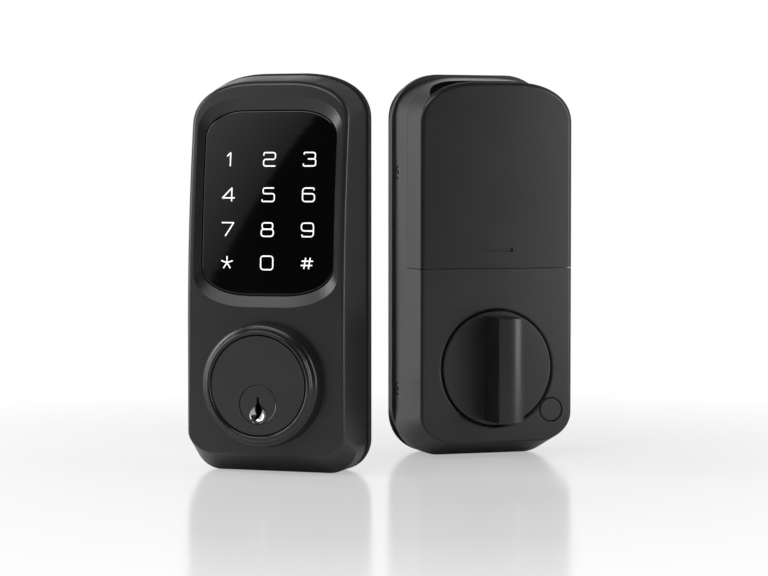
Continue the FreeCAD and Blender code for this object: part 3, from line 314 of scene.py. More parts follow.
def glass_form(name, back, front, grow, flare=(1, 1), edge=0):
    """A slab with the glass's outline, grown all round, whose front may flare out or be eased."""
    low, high = 66.1 - grow, 134.8 + grow
    piece = block(name, -26 - grow, 26 + grow, back, front, low, high)
    round_corners(piece, 16 + grow, 14, 0.53, only=lambda spot: spot.z > 100)
    pick(piece, "VERT", lambda spot: spot.z > high - 16.01 - grow)
    bpy.ops.transform.resize(value=(1, 1, 0.66), center_override=(0, 0, high))
    work_on(piece)
    round_corners(piece, 20 + grow, 16, 0.53, only=lambda spot: spot.z < 100)
    pick(piece, "VERT", lambda spot: spot.z < low + 20.01 + grow)
    bpy.ops.transform.resize(value=(1, 1, 0.54), center_override=(0, 0, low))
    pick(piece, "VERT", lambda spot: spot.y < -front + 0.001)
    bpy.ops.transform.resize(value=(flare[0], 1, flare[1]), center_override=(0, 0, 98))
    if edge:
        pick(piece, "EDGE", lambda a, b: a.y < -front + 0.001 and b.y < -front + 0.001)
        bpy.ops.mesh.bevel(offset=edge, segments=3, profile=0.5, affect="EDGES")
    work_on(piece)
    slice_level(piece, [51 + 3 * step for step in range(35)])
    lean_back(piece, 0, 1)
    return piece


carve(casing, glass_form("bed_tool", 23.2, 27.2, 0.25, (1.19, 1.27)))
carve(casing, glass_form("window_tool", 15, 30, 0.15))
work_on(None)
bpy.ops.mesh.primitive_cylinder_add(vertices=96, radius=16.05, depth=30,
                                    location=(0, -20, CYLINDER_HEIGHT),
                                    rotation=(math.radians(90), 0, 0))
barrel_hole = bpy.context.active_object
bpy.ops.object.transform_apply(location=True, rotation=True, scale=True)
carve(casing, barrel_hole)
smooth(casing, 16)

satin_paint = surface("satin_black_paint", (0.0175, 0.0175, 0.0195), (0.0155, 0.0155, 0.0175),
                      45, (0.27, 0.31), 5200, 0.000012)
coat(satin_paint, casing)
stand(casing, "keypad_unit", "casing", "front_casing")

# ---- Keypad glass ----
# One polished black panel over the whole keypad, printed black behind, with a narrow ground
# bevel round its edge. It follows the casing's curve and is bonded into the sunk bed.

lens = glass_form("keypad_glass", 22.1, 23.2, 0, edge=0.7)
smooth(lens, 30)
black_glass = surface("polished_black_glass", (0.0014, 0.0014, 0.0016), (0.0011, 0.0011, 0.0013),
                      30, (0.03, 0.045), 900, 0.000001)
coat(black_glass, lens)
stand(lens, "keypad_unit", "lens", "keypad_lens")

# ---- Key legends ----
# The ten digits, the star and the hash, lit white through the glass. They are thin, wide,
# round-cornered strokes of one width, five millimetres tall, in a grid three across.

LEGENDS = {
    "1": [[(1.3, 3.7), (2.7, 5.0), (2.7, 0.0)]],
    "2": [[(0.1, 3.9), (0.1, 5.0), (4.7, 5.0), (4.7, 2.5), (0.1, 2.5), (0.1, 0.0), (4.8, 0.0)]],
    "3": [[(0.2, 4.2), (0.2, 5.0), (4.6, 5.0), (4.6, 2.6), (1.7, 2.6)],
          [(1.7, 2.6), (4.8, 2.6), (4.8, 0.0), (0.0, 0.0), (0.0, 0.9)]],
    "4": [[(3.7, 0.0), (3.7, 5.0), (0.0, 1.3), (4.9, 1.3)]],
    "5": [[(4.6, 5.0), (0.3, 5.0), (0.3, 2.9), (4.8, 2.9), (4.8, 0.0), (0.0, 0.0), (0.0, 0.8)]],
    "6": [[(4.5, 4.2), (4.5, 5.0), (0.1, 5.0), (0.1, 0.0), (4.8, 0.0), (4.8, 2.9), (0.1, 2.9)]],
    "7": [[(0.0, 5.0), (4.8, 5.0), (1.5, 0.0)]],
    "8": [[(2.4, 5.0), (0.3, 5.0), (0.3, 2.65), (4.5, 2.65), (4.5, 5.0), (2.4, 5.0)],
          [(2.4, 2.65), (0.0, 2.65), (0.0, 0.0), (4.8, 0.0), (4.8, 2.65), (2.4, 2.65)]],
    "9": [[(0.3, 0.8), (0.3, 0.0), (4.7, 0.0), (4.7, 5.0), (0.0, 5.0), (0.0, 2.1), (4.7, 2.1)]],
    "0": [[(2.4, 5.0), (0.0, 5.0), (0.0, 0.0), (4.8, 0.0), (4.8, 5.0), (2.4, 5.0)]],
    "star": [[(2.4, 2.4), (2.4, 4.9)], [(2.4, 2.4), (4.7, 3.2)], [(2.4, 2.4), (0.1, 3.2)],
             [(2.4, 2.4), (3.8, 0.4)], [(2.4, 2.4), (1.0, 0.4)]],
    "hash": [[(1.2, 0.4), (1.9, 4.6)], [(3.0, 0.4), (3.7, 4.6)],
             [(0.3, 3.3), (4.8, 3.3)], [(0.0, 1.7), (4.5, 1.7)]],
}
ROWS = {116.6: "123", 103.5: "456", 90.6: "789", 78.3: ("star", "0", "hash")}


def eased(points, radius):
    """The same line with its corners rounded."""
    line = [points[0]]
    for before, corner, after in zip(points, points[1:], points[2:]):
        corner, before, after = Vector(corner), Vector(before), Vector(after)
        run_in, run_out = before - corner, after - corner
        cut = min(radius, run_in.length * 0.5, run_out.length * 0.5)
        if run_in.angle(run_out) < math.radians(75):
            cut = 0.12
        first, last = corner + run_in.normalized() * cut, corner + run_out.normalized() * cut
        for step in range(7):
            part = step / 6
            line.append(tuple(first * (1 - part) ** 2 + corner * 2 * part * (1 - part)
                              + last * part ** 2))
    return line + [points[-1]]


def legend(name, strokes, x, height):
    """Draw one character on the glass, as flat strokes."""
    curve = bpy.data.curves.new(name, "CURVE")
    curve.dimensions = "3D"
    curve.bevel_depth = 0.25
    curve.bevel_resolution = 2
    curve.use_fill_caps = True
    for stroke in strokes:
        line = eased(stroke, 1.0 if name[-1] in "235" else 1.3) if len(stroke) > 2 else stroke
        spline = curve.splines.new("POLY")
        spline.points.add(len(line) - 1)
        for point, (across, up) in zip(spline.points, line):
            point.co = (across - 2.4, 0, up - 2.5, 1)
    drawn = bpy.data.objects.new(name, curve)
    bpy.context.scene.collection.objects.link(drawn)
    work_on(drawn)
    bpy.ops.object.convert(target="MESH")
    drawn = bpy.context.active_object
    slope = math.asin((height - BEND) / LEAN_RADIUS)
    drawn.scale = (1, 0.08, 1)
    drawn.rotation_euler = (-slope, 0, 0)
    drawn.location = (x, -(front_depth(height) - 1.8), height)
    bpy.ops.object.transform_apply(location=True, rotation=True, scale=True)
    smooth(drawn, 40)
    return drawn


lit_white = surface("lit_white_ink", (0.92, 0.93, 0.95), (0.86, 0.87, 0.9), 300, (0.3, 0.4),
                    3000, 0.000004)
lit_shader = lit_white.node_tree.nodes["Principled BSDF"]
lit_shader.inputs["Emission Color"].default_value = (1, 1, 1, 1)
lit_shader.inputs["Emission Strength"].default_value = 0.45
for row_height, row in ROWS.items():
    for column, character in zip((-15.8, 0, 15.8), row):
        mark = legend(f"legend_{character}", LEGENDS[character], column, row_height)
        coat(lit_white, mark)
        stand(mark, "keypad_unit", "white_plastic")

# ---- Cylinder collar ----
# A heavy turned ring round the key cylinder, plated black and lightly polished. It tapers to a
# rolled lip with a shallow groove outside it, and the casing front is clamped behind it.


def turn_on_lathe(name, steps, x, height, around=96, closed=True):
    """Turn a piece about an axis square to the door, from (depth, radius) steps."""
    work_on(None)
    bpy.ops.mesh.primitive_circle_add(vertices=around, radius=steps[0][1],
                                      location=(x, -steps[0][0], height),
                                      rotation=(math.radians(90), 0, 0))
    piece = bpy.context.active_object
    piece.name = name
    bpy.ops.object.transform_apply(location=True, rotation=True, scale=True)
    pick(piece, "EDGE", lambda a, b: True)
    bpy.ops.object.mode_set(mode="EDIT")
    for (depth, radius), (next_depth, next_radius) in zip(steps, steps[1:]):
        bpy.ops.mesh.extrude_edges_move(
            TRANSFORM_OT_translate={"value": (0, depth - next_depth, 0)})
        ratio = next_radius / radius
        bpy.ops.transform.resize(value=(ratio, 1, ratio),
                                 center_override=(x, -next_depth, height))
    if closed:
        bpy.ops.mesh.select_all(action="SELECT")
        bpy.ops.mesh.remove_doubles(threshold=0.001)
    else:
        bpy.ops.mesh.edge_face_add()
        bpy.ops.mesh.select_mode(type="VERT")
        bpy.ops.mesh.select_all(action="DESELECT")
        bpy.ops.mesh.select_non_manifold()
        bpy.ops.mesh.edge_face_add()
        bpy.ops.mesh.select_all(action="SELECT")
    bpy.ops.mesh.normals_make_consistent(inside=False)
    work_on(piece)
    return piece


collar = turn_on_lathe("collar_ring", [
    (25, 16.1), (25, 23.35), (29.9, 22.6), (30.7, 22.3), (31.1, 21.8), (31.2, 21.3), (31.5, 20.9),
    (32.3, 20.6), (32.8, 20.2), (33, 19.7), (32.9, 19.2), (32.5, 18.75), (31.8, 18.5),
    (26.5, 18.4), (26.5, 16.1), (25, 16.1)], 0, CYLINDER_HEIGHT)
smooth(collar, 40)
black_plate = surface("polished_black_plate", (0.015, 0.015, 0.0165), (0.012, 0.012, 0.0135),
                      60, (0.17, 0.22), 3800, 0.000008)
coat(black_plate, collar)
stand(collar, "keypad_unit", "black_metal", "cylinder_collar")

# ---- Key plug ----
# The turning part of the key cylinder: a brass rod with a flush black head. A thin bright edge
# shows where the head meets the barrel, and the keyway is scooped out bright at its foot.

PLUG_HEIGHT = 26.5
SCOOP = Vector((0.1, -34.5, 22.8))
SCOOP_RADIUS = 4
plug = turn_on_lathe("key_plug_turned", [
    (32.3, 6.95), (31.95, 7.3), (31.3, 7.3), (31.3, 6.35), (5.6, 6.35), (5.6, 4), (4.6, 4),
    (4.6, 6.35), (2.6, 6.3)], 0, PLUG_HEIGHT, 72, closed=False)
KEYWAY = [(-0.4, 2.9), (0.4, 2.9), (0.5, 1.0), (1.2, -0.2), (1.5, -1.6), (1.0, -3.0),
          (0.2, -4.6), (-1.1, -5.9), (-1.6, -5.2), (-1.2, -3.8), (-1.6, -2.6), (-1.3, -1.2),
          (-0.5, 0.4)]
work_on(None)
bpy.ops.mesh.primitive_circle_add(vertices=len(KEYWAY), radius=1, fill_type="NGON")
keyway = bpy.context.active_object
for vertex, (across, up) in zip(keyway.data.vertices, KEYWAY):
    vertex.co = (across, -34, PLUG_HEIGHT + up)
pick(keyway, "FACE", lambda spot, normal: True)
bpy.ops.mesh.extrude_region_move(TRANSFORM_OT_translate={"value": (0, 12, 0)})
bpy.ops.mesh.select_all(action="SELECT")
bpy.ops.mesh.normals_make_consistent(inside=False)
carve(plug, keyway)
work_on(None)
bpy.ops.mesh.primitive_uv_sphere_add(segments=40, ring_count=20, radius=SCOOP_RADIUS,
                                     location=SCOOP)
scoop = bpy.context.active_object
bpy.ops.object.transform_apply(location=True, rotation=False, scale=False)
carve(plug, scoop)
smooth(plug, 30)
plug_head = surface("plug_head_black", (0.021, 0.021, 0.023), (0.018, 0.018, 0.02),
                    90, (0.3, 0.38), 4200, 0.00001)
bright_cut = surface("bright_cut_metal", (0.62, 0.61, 0.6), (0.5, 0.49, 0.48),
                     400, (0.16, 0.24), 3000, 0.00001, metal=1.0)
plug.data.materials.append(plug_head)
plug.data.materials.append(bright_cut)
for face in plug.data.polygons:
    scooped = abs((face.center - SCOOP).length - SCOOP_RADIUS) < 0.12
    reach = math.hypot(face.center.x, face.center.z - PLUG_HEIGHT)
    rim = face.center.y < -31.95 and reach > 6.97
    face.material_index = 1 if scooped or rim else 0
stand(plug, "key_plug", "black_metal", "key_plug")

# ---- Inner gasket ----
# A thin rubber ring between the door and the battery half's mounting plate.

INNER_LOW, INNER_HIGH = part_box("inner_gasket")
TURN = math.radians(36)
BATTERY_HALF = Vector(((INNER_LOW.x + INNER_HIGH.x) / 2 - 0.00075 * math.sin(TURN),
                       (INNER_LOW.y + INNER_HIGH.y) / 2 + 0.00075 * math.cos(TURN),
                       INNER_LOW.z))


def stand_turned(piece, body, slot, *nodes):
    """Stand a finished battery-half piece in its place."""
    settle(piece, BATTERY_HALF, TURN)
    finish_piece(piece, body, nodes)


inner_ring = upright_outline("inner_gasket_ring", 33.5, 0, 1.5, 151, 26, 18.2, 16)
pick(inner_ring, "FACE", lambda spot, normal: abs(normal.y) > 0.9)
bpy.ops.mesh.inset(thickness=7.2, depth=0)
bpy.ops.mesh.bridge_edge_loops()
soften(inner_ring, 0.35, 2)
coat(rubber, inner_ring)
stand_turned(inner_ring, "battery_unit", "rubber", "inner_gasket")

# ---- Inner housing ----
# The die-cast body of the battery half, sprayed satin black. Below a level seam it holds the
# thumb turn and the set button; above it, a low shoulder carries the battery cover.

SEAM = 74.3
TURN_HEIGHT = 35.4
BUTTON_X, BUTTON_HEIGHT = 22.6, 18.5
SCREW_DEPTH = 8.5
SCREW_HEIGHTS = (26, 112)


def inner_form(name):
    """The battery half's whole outer form."""
    return pressed_front(name, 32.3, 149.8, (25, 17, 14.5), 5, 16, 35, 6.4, 0.9, 2.8, 2.2, False)


housing = inner_form("housing_shell")
carve(housing, block("cover_space", -40, 40, 19.5, 40, SEAM, 160))
bay = block("bay_tool", -29.8, 29.8, 14.5, 25, SEAM, 147.3)
round_corners(bay, 15.5, 12, only=lambda spot: spot.z > 100)
work_on(bay)
carve(housing, bay)
hollow = block("hollow_tool", -29.8, 29.8, 4, 13.8, 2.5, 71.8)
round_corners(hollow, 15.5, 12, only=lambda spot: spot.z < 40)
work_on(hollow)
carve(housing, hollow)
deep = block("deep_tool", -29.8, 29.8, 4, 32.5, 9, 71.8)
round_corners(deep, 12, 12, only=lambda spot: spot.z < 40)
work_on(deep)
carve(housing, deep)
roof = block("roof_tool", -29.8, 29.8, 4, 13, SEAM, 147.3)
round_corners(roof, 15.5, 12, only=lambda spot: spot.z > 100)
work_on(roof)
carve(housing, roof)


def drill(piece, radius, x, height, back, front, rounding):
    """Bore a round hole square to the door, with a rounded mouth."""
    work_on(None)
    bpy.ops.mesh.primitive_cylinder_add(
        vertices=96, radius=radius, depth=front + 3 - back,
        location=(x, -(back + front + 3) / 2, height), rotation=(math.radians(90), 0, 0))
    tool = bpy.context.active_object
    bpy.ops.object.transform_apply(location=True, rotation=True, scale=True)
    carve(piece, tool)
    at_mouth = lambda spot: abs(spot.y + front) < 1e-3 and abs(
        math.hypot(spot.x - x, spot.z - height) - radius) < 0.02
    pick(piece, "EDGE", lambda a, b: at_mouth(a) and at_mouth(b))
    bpy.ops.mesh.bevel(offset=rounding, segments=4, profile=0.5, affect="EDGES",
                       clamp_overlap=False)
    work_on(piece)


drill(housing, 22.75, 0, TURN_HEIGHT, 30, 35, 1.2)
drill(housing, 4.8, BUTTON_X, BUTTON_HEIGHT, 30, 35, 0.3)
for height in SCREW_HEIGHTS:
    for side in (-1, 1):
        work_on(None)
        bpy.ops.mesh.primitive_cylinder_add(vertices=40, radius=2.5, depth=4,
                                            location=(side * 33.1, -SCREW_DEPTH, height),
                                            rotation=(0, math.radians(90), 0))
        well = bpy.context.active_object
        bpy.ops.object.transform_apply(location=True, rotation=True, scale=True)
        carve(housing, well)
smooth(housing, 24)
housing_paint = surface("housing_black_paint", (0.0175, 0.0175, 0.0195), (0.0155, 0.0155, 0.0175),
                        45, (0.28, 0.32), 5200, 0.000012)
coat(housing_paint, housing)
stand_turned(housing, "battery_unit", "housing", "inner_housing")

# ---- Battery cover ----
# A matching black lid over the cells. It slides up off the shoulder, with a short finger notch
# pressed into its face near the seam.

cover = inner_form("cover_lid")
pick(cover, "FACE", lambda spot, normal: True)
bpy.ops.mesh.bisect(plane_co=(0, 0, SEAM + 0.25), plane_no=(0, 0, 1), clear_inner=True,
                    use_fill=True)
pick(cover, "FACE", lambda spot, normal: True)
bpy.ops.mesh.bisect(plane_co=(0, -19.7, 0), plane_no=(0, -1, 0), clear_inner=True, use_fill=True)
work_on(cover)
inside = block("cover_inside", -30.3, 30.3, 10, 33, 60, 147.8)
round_corners(inside, 16, 14, only=lambda spot: spot.z > 100)
work_on(inside)
carve(cover, inside)
notch = block("notch_tool", -6.5, 6.5, 34.2, 36, 80.85, 82.55)
round_corners(notch, 0.6, 4)
work_on(notch)
carve(cover, notch)
smooth(cover, 30)
cover_paint = surface("cover_black_paint", (0.012, 0.012, 0.0134), (0.0105, 0.0105, 0.0118),
                      45, (0.28, 0.32), 5200, 0.000012)
coat(cover_paint, cover)
stand_turned(cover, "battery_cover", "housing", "battery_cover")

# ---- Thumb turn ----
# A flat disc with an upright grip across it, die-cast in one and sprayed black. The grip's face
# is slightly crowned, so it shades from dark to light across its width.

thumb_disc = turn_on_lathe("thumb_disc", [
    (31.9, 22.4), (34.9, 22.4), (35.25, 22.1), (35.3, 21.6)], 0, TURN_HEIGHT, closed=False)
smooth(thumb_disc, 30)
grip = block("thumb_grip", -5.2, 5.2, 35, 51.9, 14.9, 55.9)
for across in (-3.9, -2.6, -1.3, 0, 1.3, 2.6, 3.9):
    pick(grip, "FACE", lambda spot, normal: True)
    bpy.ops.mesh.bisect(plane_co=(across, 0, 0), plane_no=(1, 0, 0))
for across in (5.2, 3.9, 2.6, 1.3):
    pick(grip, "VERT", lambda spot: spot.y < -50 and abs(abs(spot.x) - across) < 1e-3)
    bpy.ops.transform.translate(value=(0, 1.1 * (across / 5.2) ** 2, 0))
work_on(grip)
soften(grip, 0.7, 4)
grip_paint = surface("grip_black_paint", (0.0165, 0.0165, 0.0185), (0.014, 0.014, 0.016),
                     45, (0.24, 0.28), 5200, 0.000008)
coat(housing_paint, thumb_disc)
coat(grip_paint, grip)
stand_turned(thumb_disc, "thumb_turn", "housing", "thumb_turn")
stand_turned(grip, "thumb_turn", "housing")

# ---- Set button ----
# A round black push button beside the thumb turn, flush with the housing, that sets the codes.

button = turn_on_lathe("button_cap", [
    (29.5, 4.6), (34.55, 4.6), (34.9, 4.35), (35, 4.0)], BUTTON_X, BUTTON_HEIGHT, 48,
    closed=False)
smooth(button, 30)
button_plastic = surface("button_black_plastic", (0.02, 0.02, 0.021), (0.016, 0.016, 0.017),
                         120, (0.42, 0.5), 6000, 0.00002)
coat(button_plastic, button)
stand_turned(button, "set_button", "black_plastic", "set_button")

# ---- Side screws ----
# Four small black socket screws, two in each flank, that pull the housing on to its plate.


def side_screw(name, side, height):
    """One socket screw, its head just below the flank."""
    screw = turn_on_lathe(name, [
        (-30.0, 1.2), (31.1, 1.2), (31.1, 2.2), (31.85, 2.2), (32.1, 1.95)], 0, 0, 40,
        closed=False)
    pick(screw, "VERT", lambda spot: spot.y > 0)
    bpy.ops.transform.translate(value=(0, -55.8, 0))
    work_on(None)
    bpy.ops.mesh.primitive_cylinder_add(vertices=6, radius=1.2, depth=1.6, location=(0, -32, 0),
                                        rotation=(math.radians(90), 0, 0))
    socket = bpy.context.active_object
    bpy.ops.object.transform_apply(location=True, rotation=True, scale=True)
    carve(screw, socket)
    smooth(screw, 30)
    work_on(screw)
    screw.rotation_euler = (0, 0, math.radians(90 * side))
    screw.location = (0, -SCREW_DEPTH, height)
    bpy.ops.object.transform_apply(location=True, rotation=True, scale=False)
    return screw


black_oxide = surface("black_oxide_steel", (0.16, 0.16, 0.165), (0.12, 0.12, 0.125),
                      500, (0.3, 0.42), 4000, 0.00001, metal=0.7)
screw_set = [side_screw(f"side_screw_{'right' if side > 0 else 'left'}_{height}", side, height)
             for height in SCREW_HEIGHTS for side in (-1, 1)]
for index, screw in enumerate(screw_set):
    coat(black_oxide, screw)
    stand_turned(screw, "battery_unit", "black_steel", *(["side_screws"] if index == 0 else []))

# ---- Parts carried over as they are ----
# Plates, boards, gears and fixings inside the two halves keep their machined shape. Each gets
# the finish of its own stock.

zinc_steel = surface("zinc_plated_steel", (0.56, 0.57, 0.58), (0.44, 0.45, 0.47),
                     90, (0.3, 0.42), 1500, 0.00001, metal=1.0, stretch=(1, 1, 8))
black_sheet = surface("black_coated_steel", (0.03, 0.03, 0.032), (0.024, 0.024, 0.026),
                      70, (0.45, 0.55), 2600, 0.00002)
turned_brass = surface("turned_brass", (0.72, 0.53, 0.22), (0.58, 0.41, 0.16),
                       200, (0.22, 0.34), 2400, 0.00001, metal=1.0, stretch=(1, 6, 1))
fine_plastic = surface("fine_black_plastic", (0.026, 0.026, 0.027), (0.02, 0.02, 0.021),
                       120, (0.48, 0.58), 4200, 0.00003)
milky_sheet = surface("milky_light_sheet", (0.85, 0.86, 0.87), (0.78, 0.79, 0.8),
                      80, (0.3, 0.4), 2000, 0.000006)
solder_mask = surface("green_solder_mask", (0.03, 0.17, 0.07), (0.02, 0.12, 0.05),
                      600, (0.28, 0.4), 1400, 0.00002)
chip_resin = surface("moulded_chip_resin", (0.035, 0.035, 0.036), (0.026, 0.026, 0.027),
                     500, (0.5, 0.6), 6000, 0.00002)
natural_acetal = surface("natural_acetal", (0.8, 0.78, 0.7), (0.74, 0.71, 0.62),
                         120, (0.35, 0.45), 3000, 0.00001)
nickel = surface("nickel_plate", (0.74, 0.73, 0.71), (0.62, 0.61, 0.59),
                 200, (0.15, 0.25), 2500, 0.000006, metal=1.0)
cell_jacket = surface("printed_cell_jacket", (0.12, 0.12, 0.13), (0.09, 0.09, 0.1),
                      60, (0.25, 0.33), 1500, 0.000006, metal=0.6)
SHARED = {
    "door_plate": zinc_steel, "plate_screws": zinc_steel, "mounting_posts": zinc_steel,
    "cable_grommet": rubber, "buzzer": fine_plastic, "lens_seal": rubber,
    "keypad_frame": fine_plastic, "light_guide": milky_sheet, "keypad_board": solder_mask,
    "keypad_chips": chip_resin, "keypad_screws": zinc_steel, "cylinder_barrel": plug_head,
    "barrel_cap": turned_brass, "barrel_screws": zinc_steel, "driver_pins": turned_brass,
    "pin_springs": nickel, "key_pins": turned_brass, "plug_clip": zinc_steel,
    "tailpiece": zinc_steel, "mounting_plate": black_sheet, "battery_tray": fine_plastic,
    "battery_cells": cell_jacket, "contact_springs": nickel, "contact_plates": nickel,
    "main_board": solder_mask, "radio_module": nickel, "main_board_screws": zinc_steel,
    "hub_bush": natural_acetal, "gear_chassis": zinc_steel, "chassis_screws": zinc_steel,
    "gear_bridge": zinc_steel, "bridge_screws": zinc_steel, "idler_axle": zinc_steel,
    "motor": zinc_steel, "button_switch": chip_resin, "switch_board": solder_mask,
    "spindle_hub": zinc_steel, "drive_gear": zinc_steel, "compound_gear": natural_acetal,
    "motor_shaft": zinc_steel, "motor_pinion": turned_brass, "switch_plunger": fine_plastic,
}
for node, material in SHARED.items():
    coat(material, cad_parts[node])

# ---- Floor ----
# A plain white table, a little glossy near the lock, that runs out into the white background.

work_on(None)
bpy.ops.mesh.primitive_circle_add(vertices=64, radius=6, fill_type="NGON", location=(0, 0, 0))
floor = bpy.context.active_object
floor.name = "white_floor"
white_table = bpy.data.materials.new("white_table")
white_table.use_nodes = True
nodes, links = white_table.node_tree.nodes, white_table.node_tree.links
nodes.remove(nodes["Principled BSDF"])
table_spots = nodes.new("ShaderNodeTexCoord")
away = nodes.new("ShaderNodeVectorMath")
away.operation = "LENGTH"
links.new(table_spots.outputs["Object"], away.inputs[0])
fade = nodes.new("ShaderNodeMapRange")
fade.inputs["From Min"].default_value = 0.12
fade.inputs["From Max"].default_value = 0.3
fade.inputs["To Min"].default_value = 0.6
fade.inputs["To Max"].default_value = 1.0
links.new(away.outputs["Value"], fade.inputs["Value"])
chalk = nodes.new("ShaderNodeBsdfDiffuse")
chalk.inputs["Color"].default_value = (0.86, 0.86, 0.86, 1)
glow = nodes.new("ShaderNodeEmission")
glow.inputs["Color"].default_value = (1, 1, 1, 1)
glow.inputs["Strength"].default_value = 1.0
seen = nodes.new("ShaderNodeLightPath")
looked_at = nodes.new("ShaderNodeMath")
looked_at.operation = "MAXIMUM"
links.new(seen.outputs["Is Camera Ray"], looked_at.inputs[0])
links.new(seen.outputs["Is Transmission Ray"], looked_at.inputs[1])
share = nodes.new("ShaderNodeMath")
share.operation = "MULTIPLY"
links.new(fade.outputs["Result"], share.inputs[0])
links.new(looked_at.outputs["Value"], share.inputs[1])
lit_table = nodes.new("ShaderNodeMixShader")
links.new(share.outputs["Value"], lit_table.inputs["Fac"])
links.new(chalk.outputs["BSDF"], lit_table.inputs[1])
links.new(glow.outputs["Emission"], lit_table.inputs[2])
shine = nodes.new("ShaderNodeBsdfAnisotropic")
shine.inputs["Color"].default_value = (1, 1, 1, 1)
shine.inputs["Roughness"].default_value = 0.16
shine_share = nodes.new("ShaderNodeMath")
shine_share.operation = "MULTIPLY"
near = nodes.new("ShaderNodeMapRange")
near.inputs["From Min"].default_value = 0.2
near.inputs["From Max"].default_value = 0.5
near.inputs["To Min"].default_value = 0.3
near.inputs["To Max"].default_value = 0.0
links.new(away.outputs["Value"], near.inputs["Value"])
links.new(near.outputs["Result"], shine_share.inputs[0])
links.new(seen.outputs["Is Camera Ray"], shine_share.inputs[1])
polished = nodes.new("ShaderNodeMixShader")
links.new(shine_share.outputs["Value"], polished.inputs["Fac"])
links.new(lit_table.outputs["Shader"], polished.inputs[1])
links.new(shine.outputs["BSDF"], polished.inputs[2])
links.new(polished.outputs["Shader"], nodes["Material Output"].inputs["Surface"])
coat(white_table, floor)

# ---- Studio ----
# A white room behind the lock and a dim one in front of it, with soft boxes at the left, right
# and above.

world = bpy.data.worlds.new("studio")
bpy.context.scene.world = world
world.use_nodes = True
nodes, links = world.node_tree.nodes, world.node_tree.links
backdrop = nodes["Background"]
looking = nodes.new("ShaderNodeLightPath")
heading = nodes.new("ShaderNodeTexCoord")
split = nodes.new("ShaderNodeSeparateXYZ")
links.new(heading.outputs["Generated"], split.inputs["Vector"])
room = nodes.new("ShaderNodeMapRange")
room.interpolation_type = "SMOOTHSTEP"
room.inputs["From Min"].default_value = -0.35
room.inputs["From Max"].default_value = 0.45
room.inputs["To Min"].default_value = 0.025
room.inputs["To Max"].default_value = 0.26
links.new(split.outputs["Y"], room.inputs["Value"])
facing = nodes.new("ShaderNodeVectorMath")
facing.operation = "DOT_PRODUCT"
facing.inputs[1].default_value = (-0.309, 0.951, 0)
links.new(heading.outputs["Generated"], facing.inputs[0])
screen = nodes.new("ShaderNodeMapRange")
screen.interpolation_type = "SMOOTHSTEP"
screen.inputs["From Min"].default_value = 0.86
screen.inputs["From Max"].default_value = 0.96
links.new(facing.outputs["Value"], screen.inputs["Value"])
behind = nodes.new("ShaderNodeMath")
behind.operation = "MAXIMUM"
links.new(room.outputs["Result"], behind.inputs[0])
links.new(screen.outputs["Result"], behind.inputs[1])
plain = nodes.new("ShaderNodeMath")
plain.operation = "MAXIMUM"
links.new(looking.outputs["Is Camera Ray"], plain.inputs[0])
links.new(looking.outputs["Is Transmission Ray"], plain.inputs[1])
mirrored_room = nodes.new("ShaderNodeMath")
mirrored_room.operation = "MULTIPLY"
links.new(behind.outputs["Value"], mirrored_room.inputs[0])
links.new(looking.outputs["Is Glossy Ray"], mirrored_room.inputs[1])
level = nodes.new("ShaderNodeMath")
level.operation = "MAXIMUM"
links.new(plain.outputs["Value"], level.inputs[0])
links.new(mirrored_room.outputs["Value"], level.inputs[1])
diffuse_fill = nodes.new("ShaderNodeMath")
diffuse_fill.operation = "MULTIPLY"
diffuse_fill.inputs[1].default_value = 0.22
links.new(looking.outputs["Is Diffuse Ray"], diffuse_fill.inputs[0])
total = nodes.new("ShaderNodeMath")
total.operation = "ADD"
links.new(level.outputs["Value"], total.inputs[0])
links.new(diffuse_fill.outputs["Value"], total.inputs[1])
links.new(total.outputs["Value"], backdrop.inputs["Strength"])
backdrop.inputs["Color"].default_value = (1, 1, 1, 1)


def soft_box(name, spot, target, width, height, power):
    """A square soft light that faces a target."""
    lamp = bpy.data.lights.new(name, "AREA")
    lamp.shape = "RECTANGLE"
    lamp.size, lamp.size_y = width, height
    lamp.energy = power
    light = bpy.data.objects.new(name, lamp)
    light.location = spot
    light.rotation_euler = (Vector(target) - Vector(spot)).to_track_quat("-Z", "Y").to_euler()
    bpy.context.scene.collection.objects.link(light)


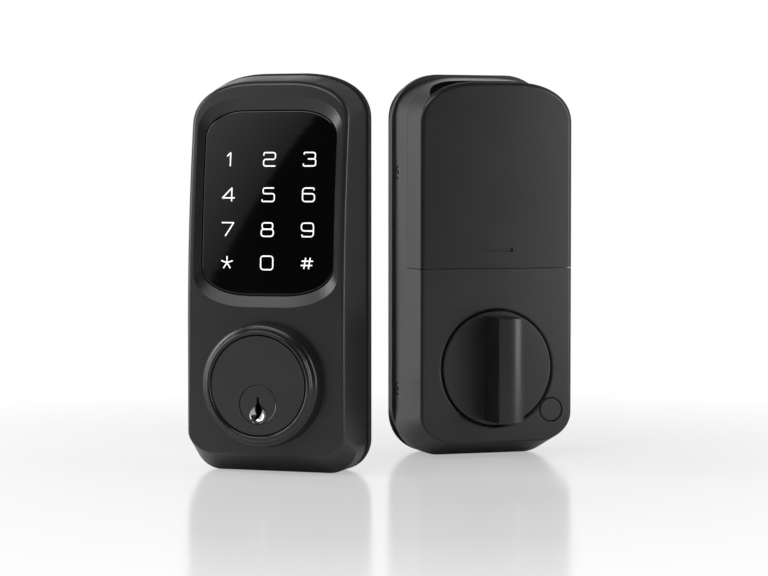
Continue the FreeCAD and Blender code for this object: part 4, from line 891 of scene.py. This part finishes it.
soft_box("soft_box_left", (-0.8, 0.25, 0.3), (0, 0, 0.08), 0.3, 0.9, 1.8)
soft_box("soft_box_near_left", (-0.4, -0.25, 0.15), (0, 0, 0.08), 0.12, 0.5, 1.3)
soft_box("soft_box_near_right", (0.42, -0.08, 0.12), (0, 0, 0.08), 0.12, 0.4, 0.8)
soft_box("soft_box_right", (0.6, 0.25, 0.3), (0, 0, 0.08), 0.3, 0.8, 0.7)
soft_box("soft_box_above", (-0.25, -0.72, 1.0), (0, 0, 0.08), 0.9, 0.4, 4.8)

# A glowing card at the left, fading towards the lock, makes the slanting glare on the glass.
work_on(None)
bpy.ops.mesh.primitive_plane_add(size=1, location=(0, 0, 0))
card = bpy.context.active_object
card.name = "glare_card"
card.scale = (0.3, 0.52, 1)
bpy.ops.object.transform_apply(scale=True)
card.location = (-0.476, -0.85, 0.36)
card.rotation_euler = (math.radians(90), math.radians(11), 0)
card.visible_camera = False
card.visible_diffuse = False
card.visible_shadow = False
glow_card = bpy.data.materials.new("glare_card")
glow_card.use_nodes = True
nodes, links = glow_card.node_tree.nodes, glow_card.node_tree.links
nodes.remove(nodes["Principled BSDF"])
card_spots = nodes.new("ShaderNodeTexCoord")
card_split = nodes.new("ShaderNodeSeparateXYZ")
links.new(card_spots.outputs["Object"], card_split.inputs["Vector"])
ramp = nodes.new("ShaderNodeMapRange")
ramp.inputs["From Min"].default_value = -0.15
ramp.inputs["From Max"].default_value = 0.15
ramp.inputs["To Min"].default_value = 2.6
ramp.inputs["To Max"].default_value = 0.3
links.new(card_split.outputs["X"], ramp.inputs["Value"])
card_glow = nodes.new("ShaderNodeEmission")
links.new(ramp.outputs["Result"], card_glow.inputs["Strength"])
links.new(card_glow.outputs["Emission"], nodes["Material Output"].inputs["Surface"])
coat(glow_card, card)

# ---- Camera ----
# A long lens a little right of the keypad's middle, level with its upper keys.

view = bpy.data.cameras.new("camera")
view.lens = 112.5
view.sensor_width = 36
camera = bpy.data.objects.new("camera", view)
camera.location = (0.2851, -0.8864, 0.109)
camera.rotation_euler = (math.radians(90 - 2.58), 0, math.radians(18))
bpy.context.scene.collection.objects.link(camera)
bpy.context.scene.camera = camera
bpy.context.scene.view_settings.view_transform = "Standard"

work_on(None)
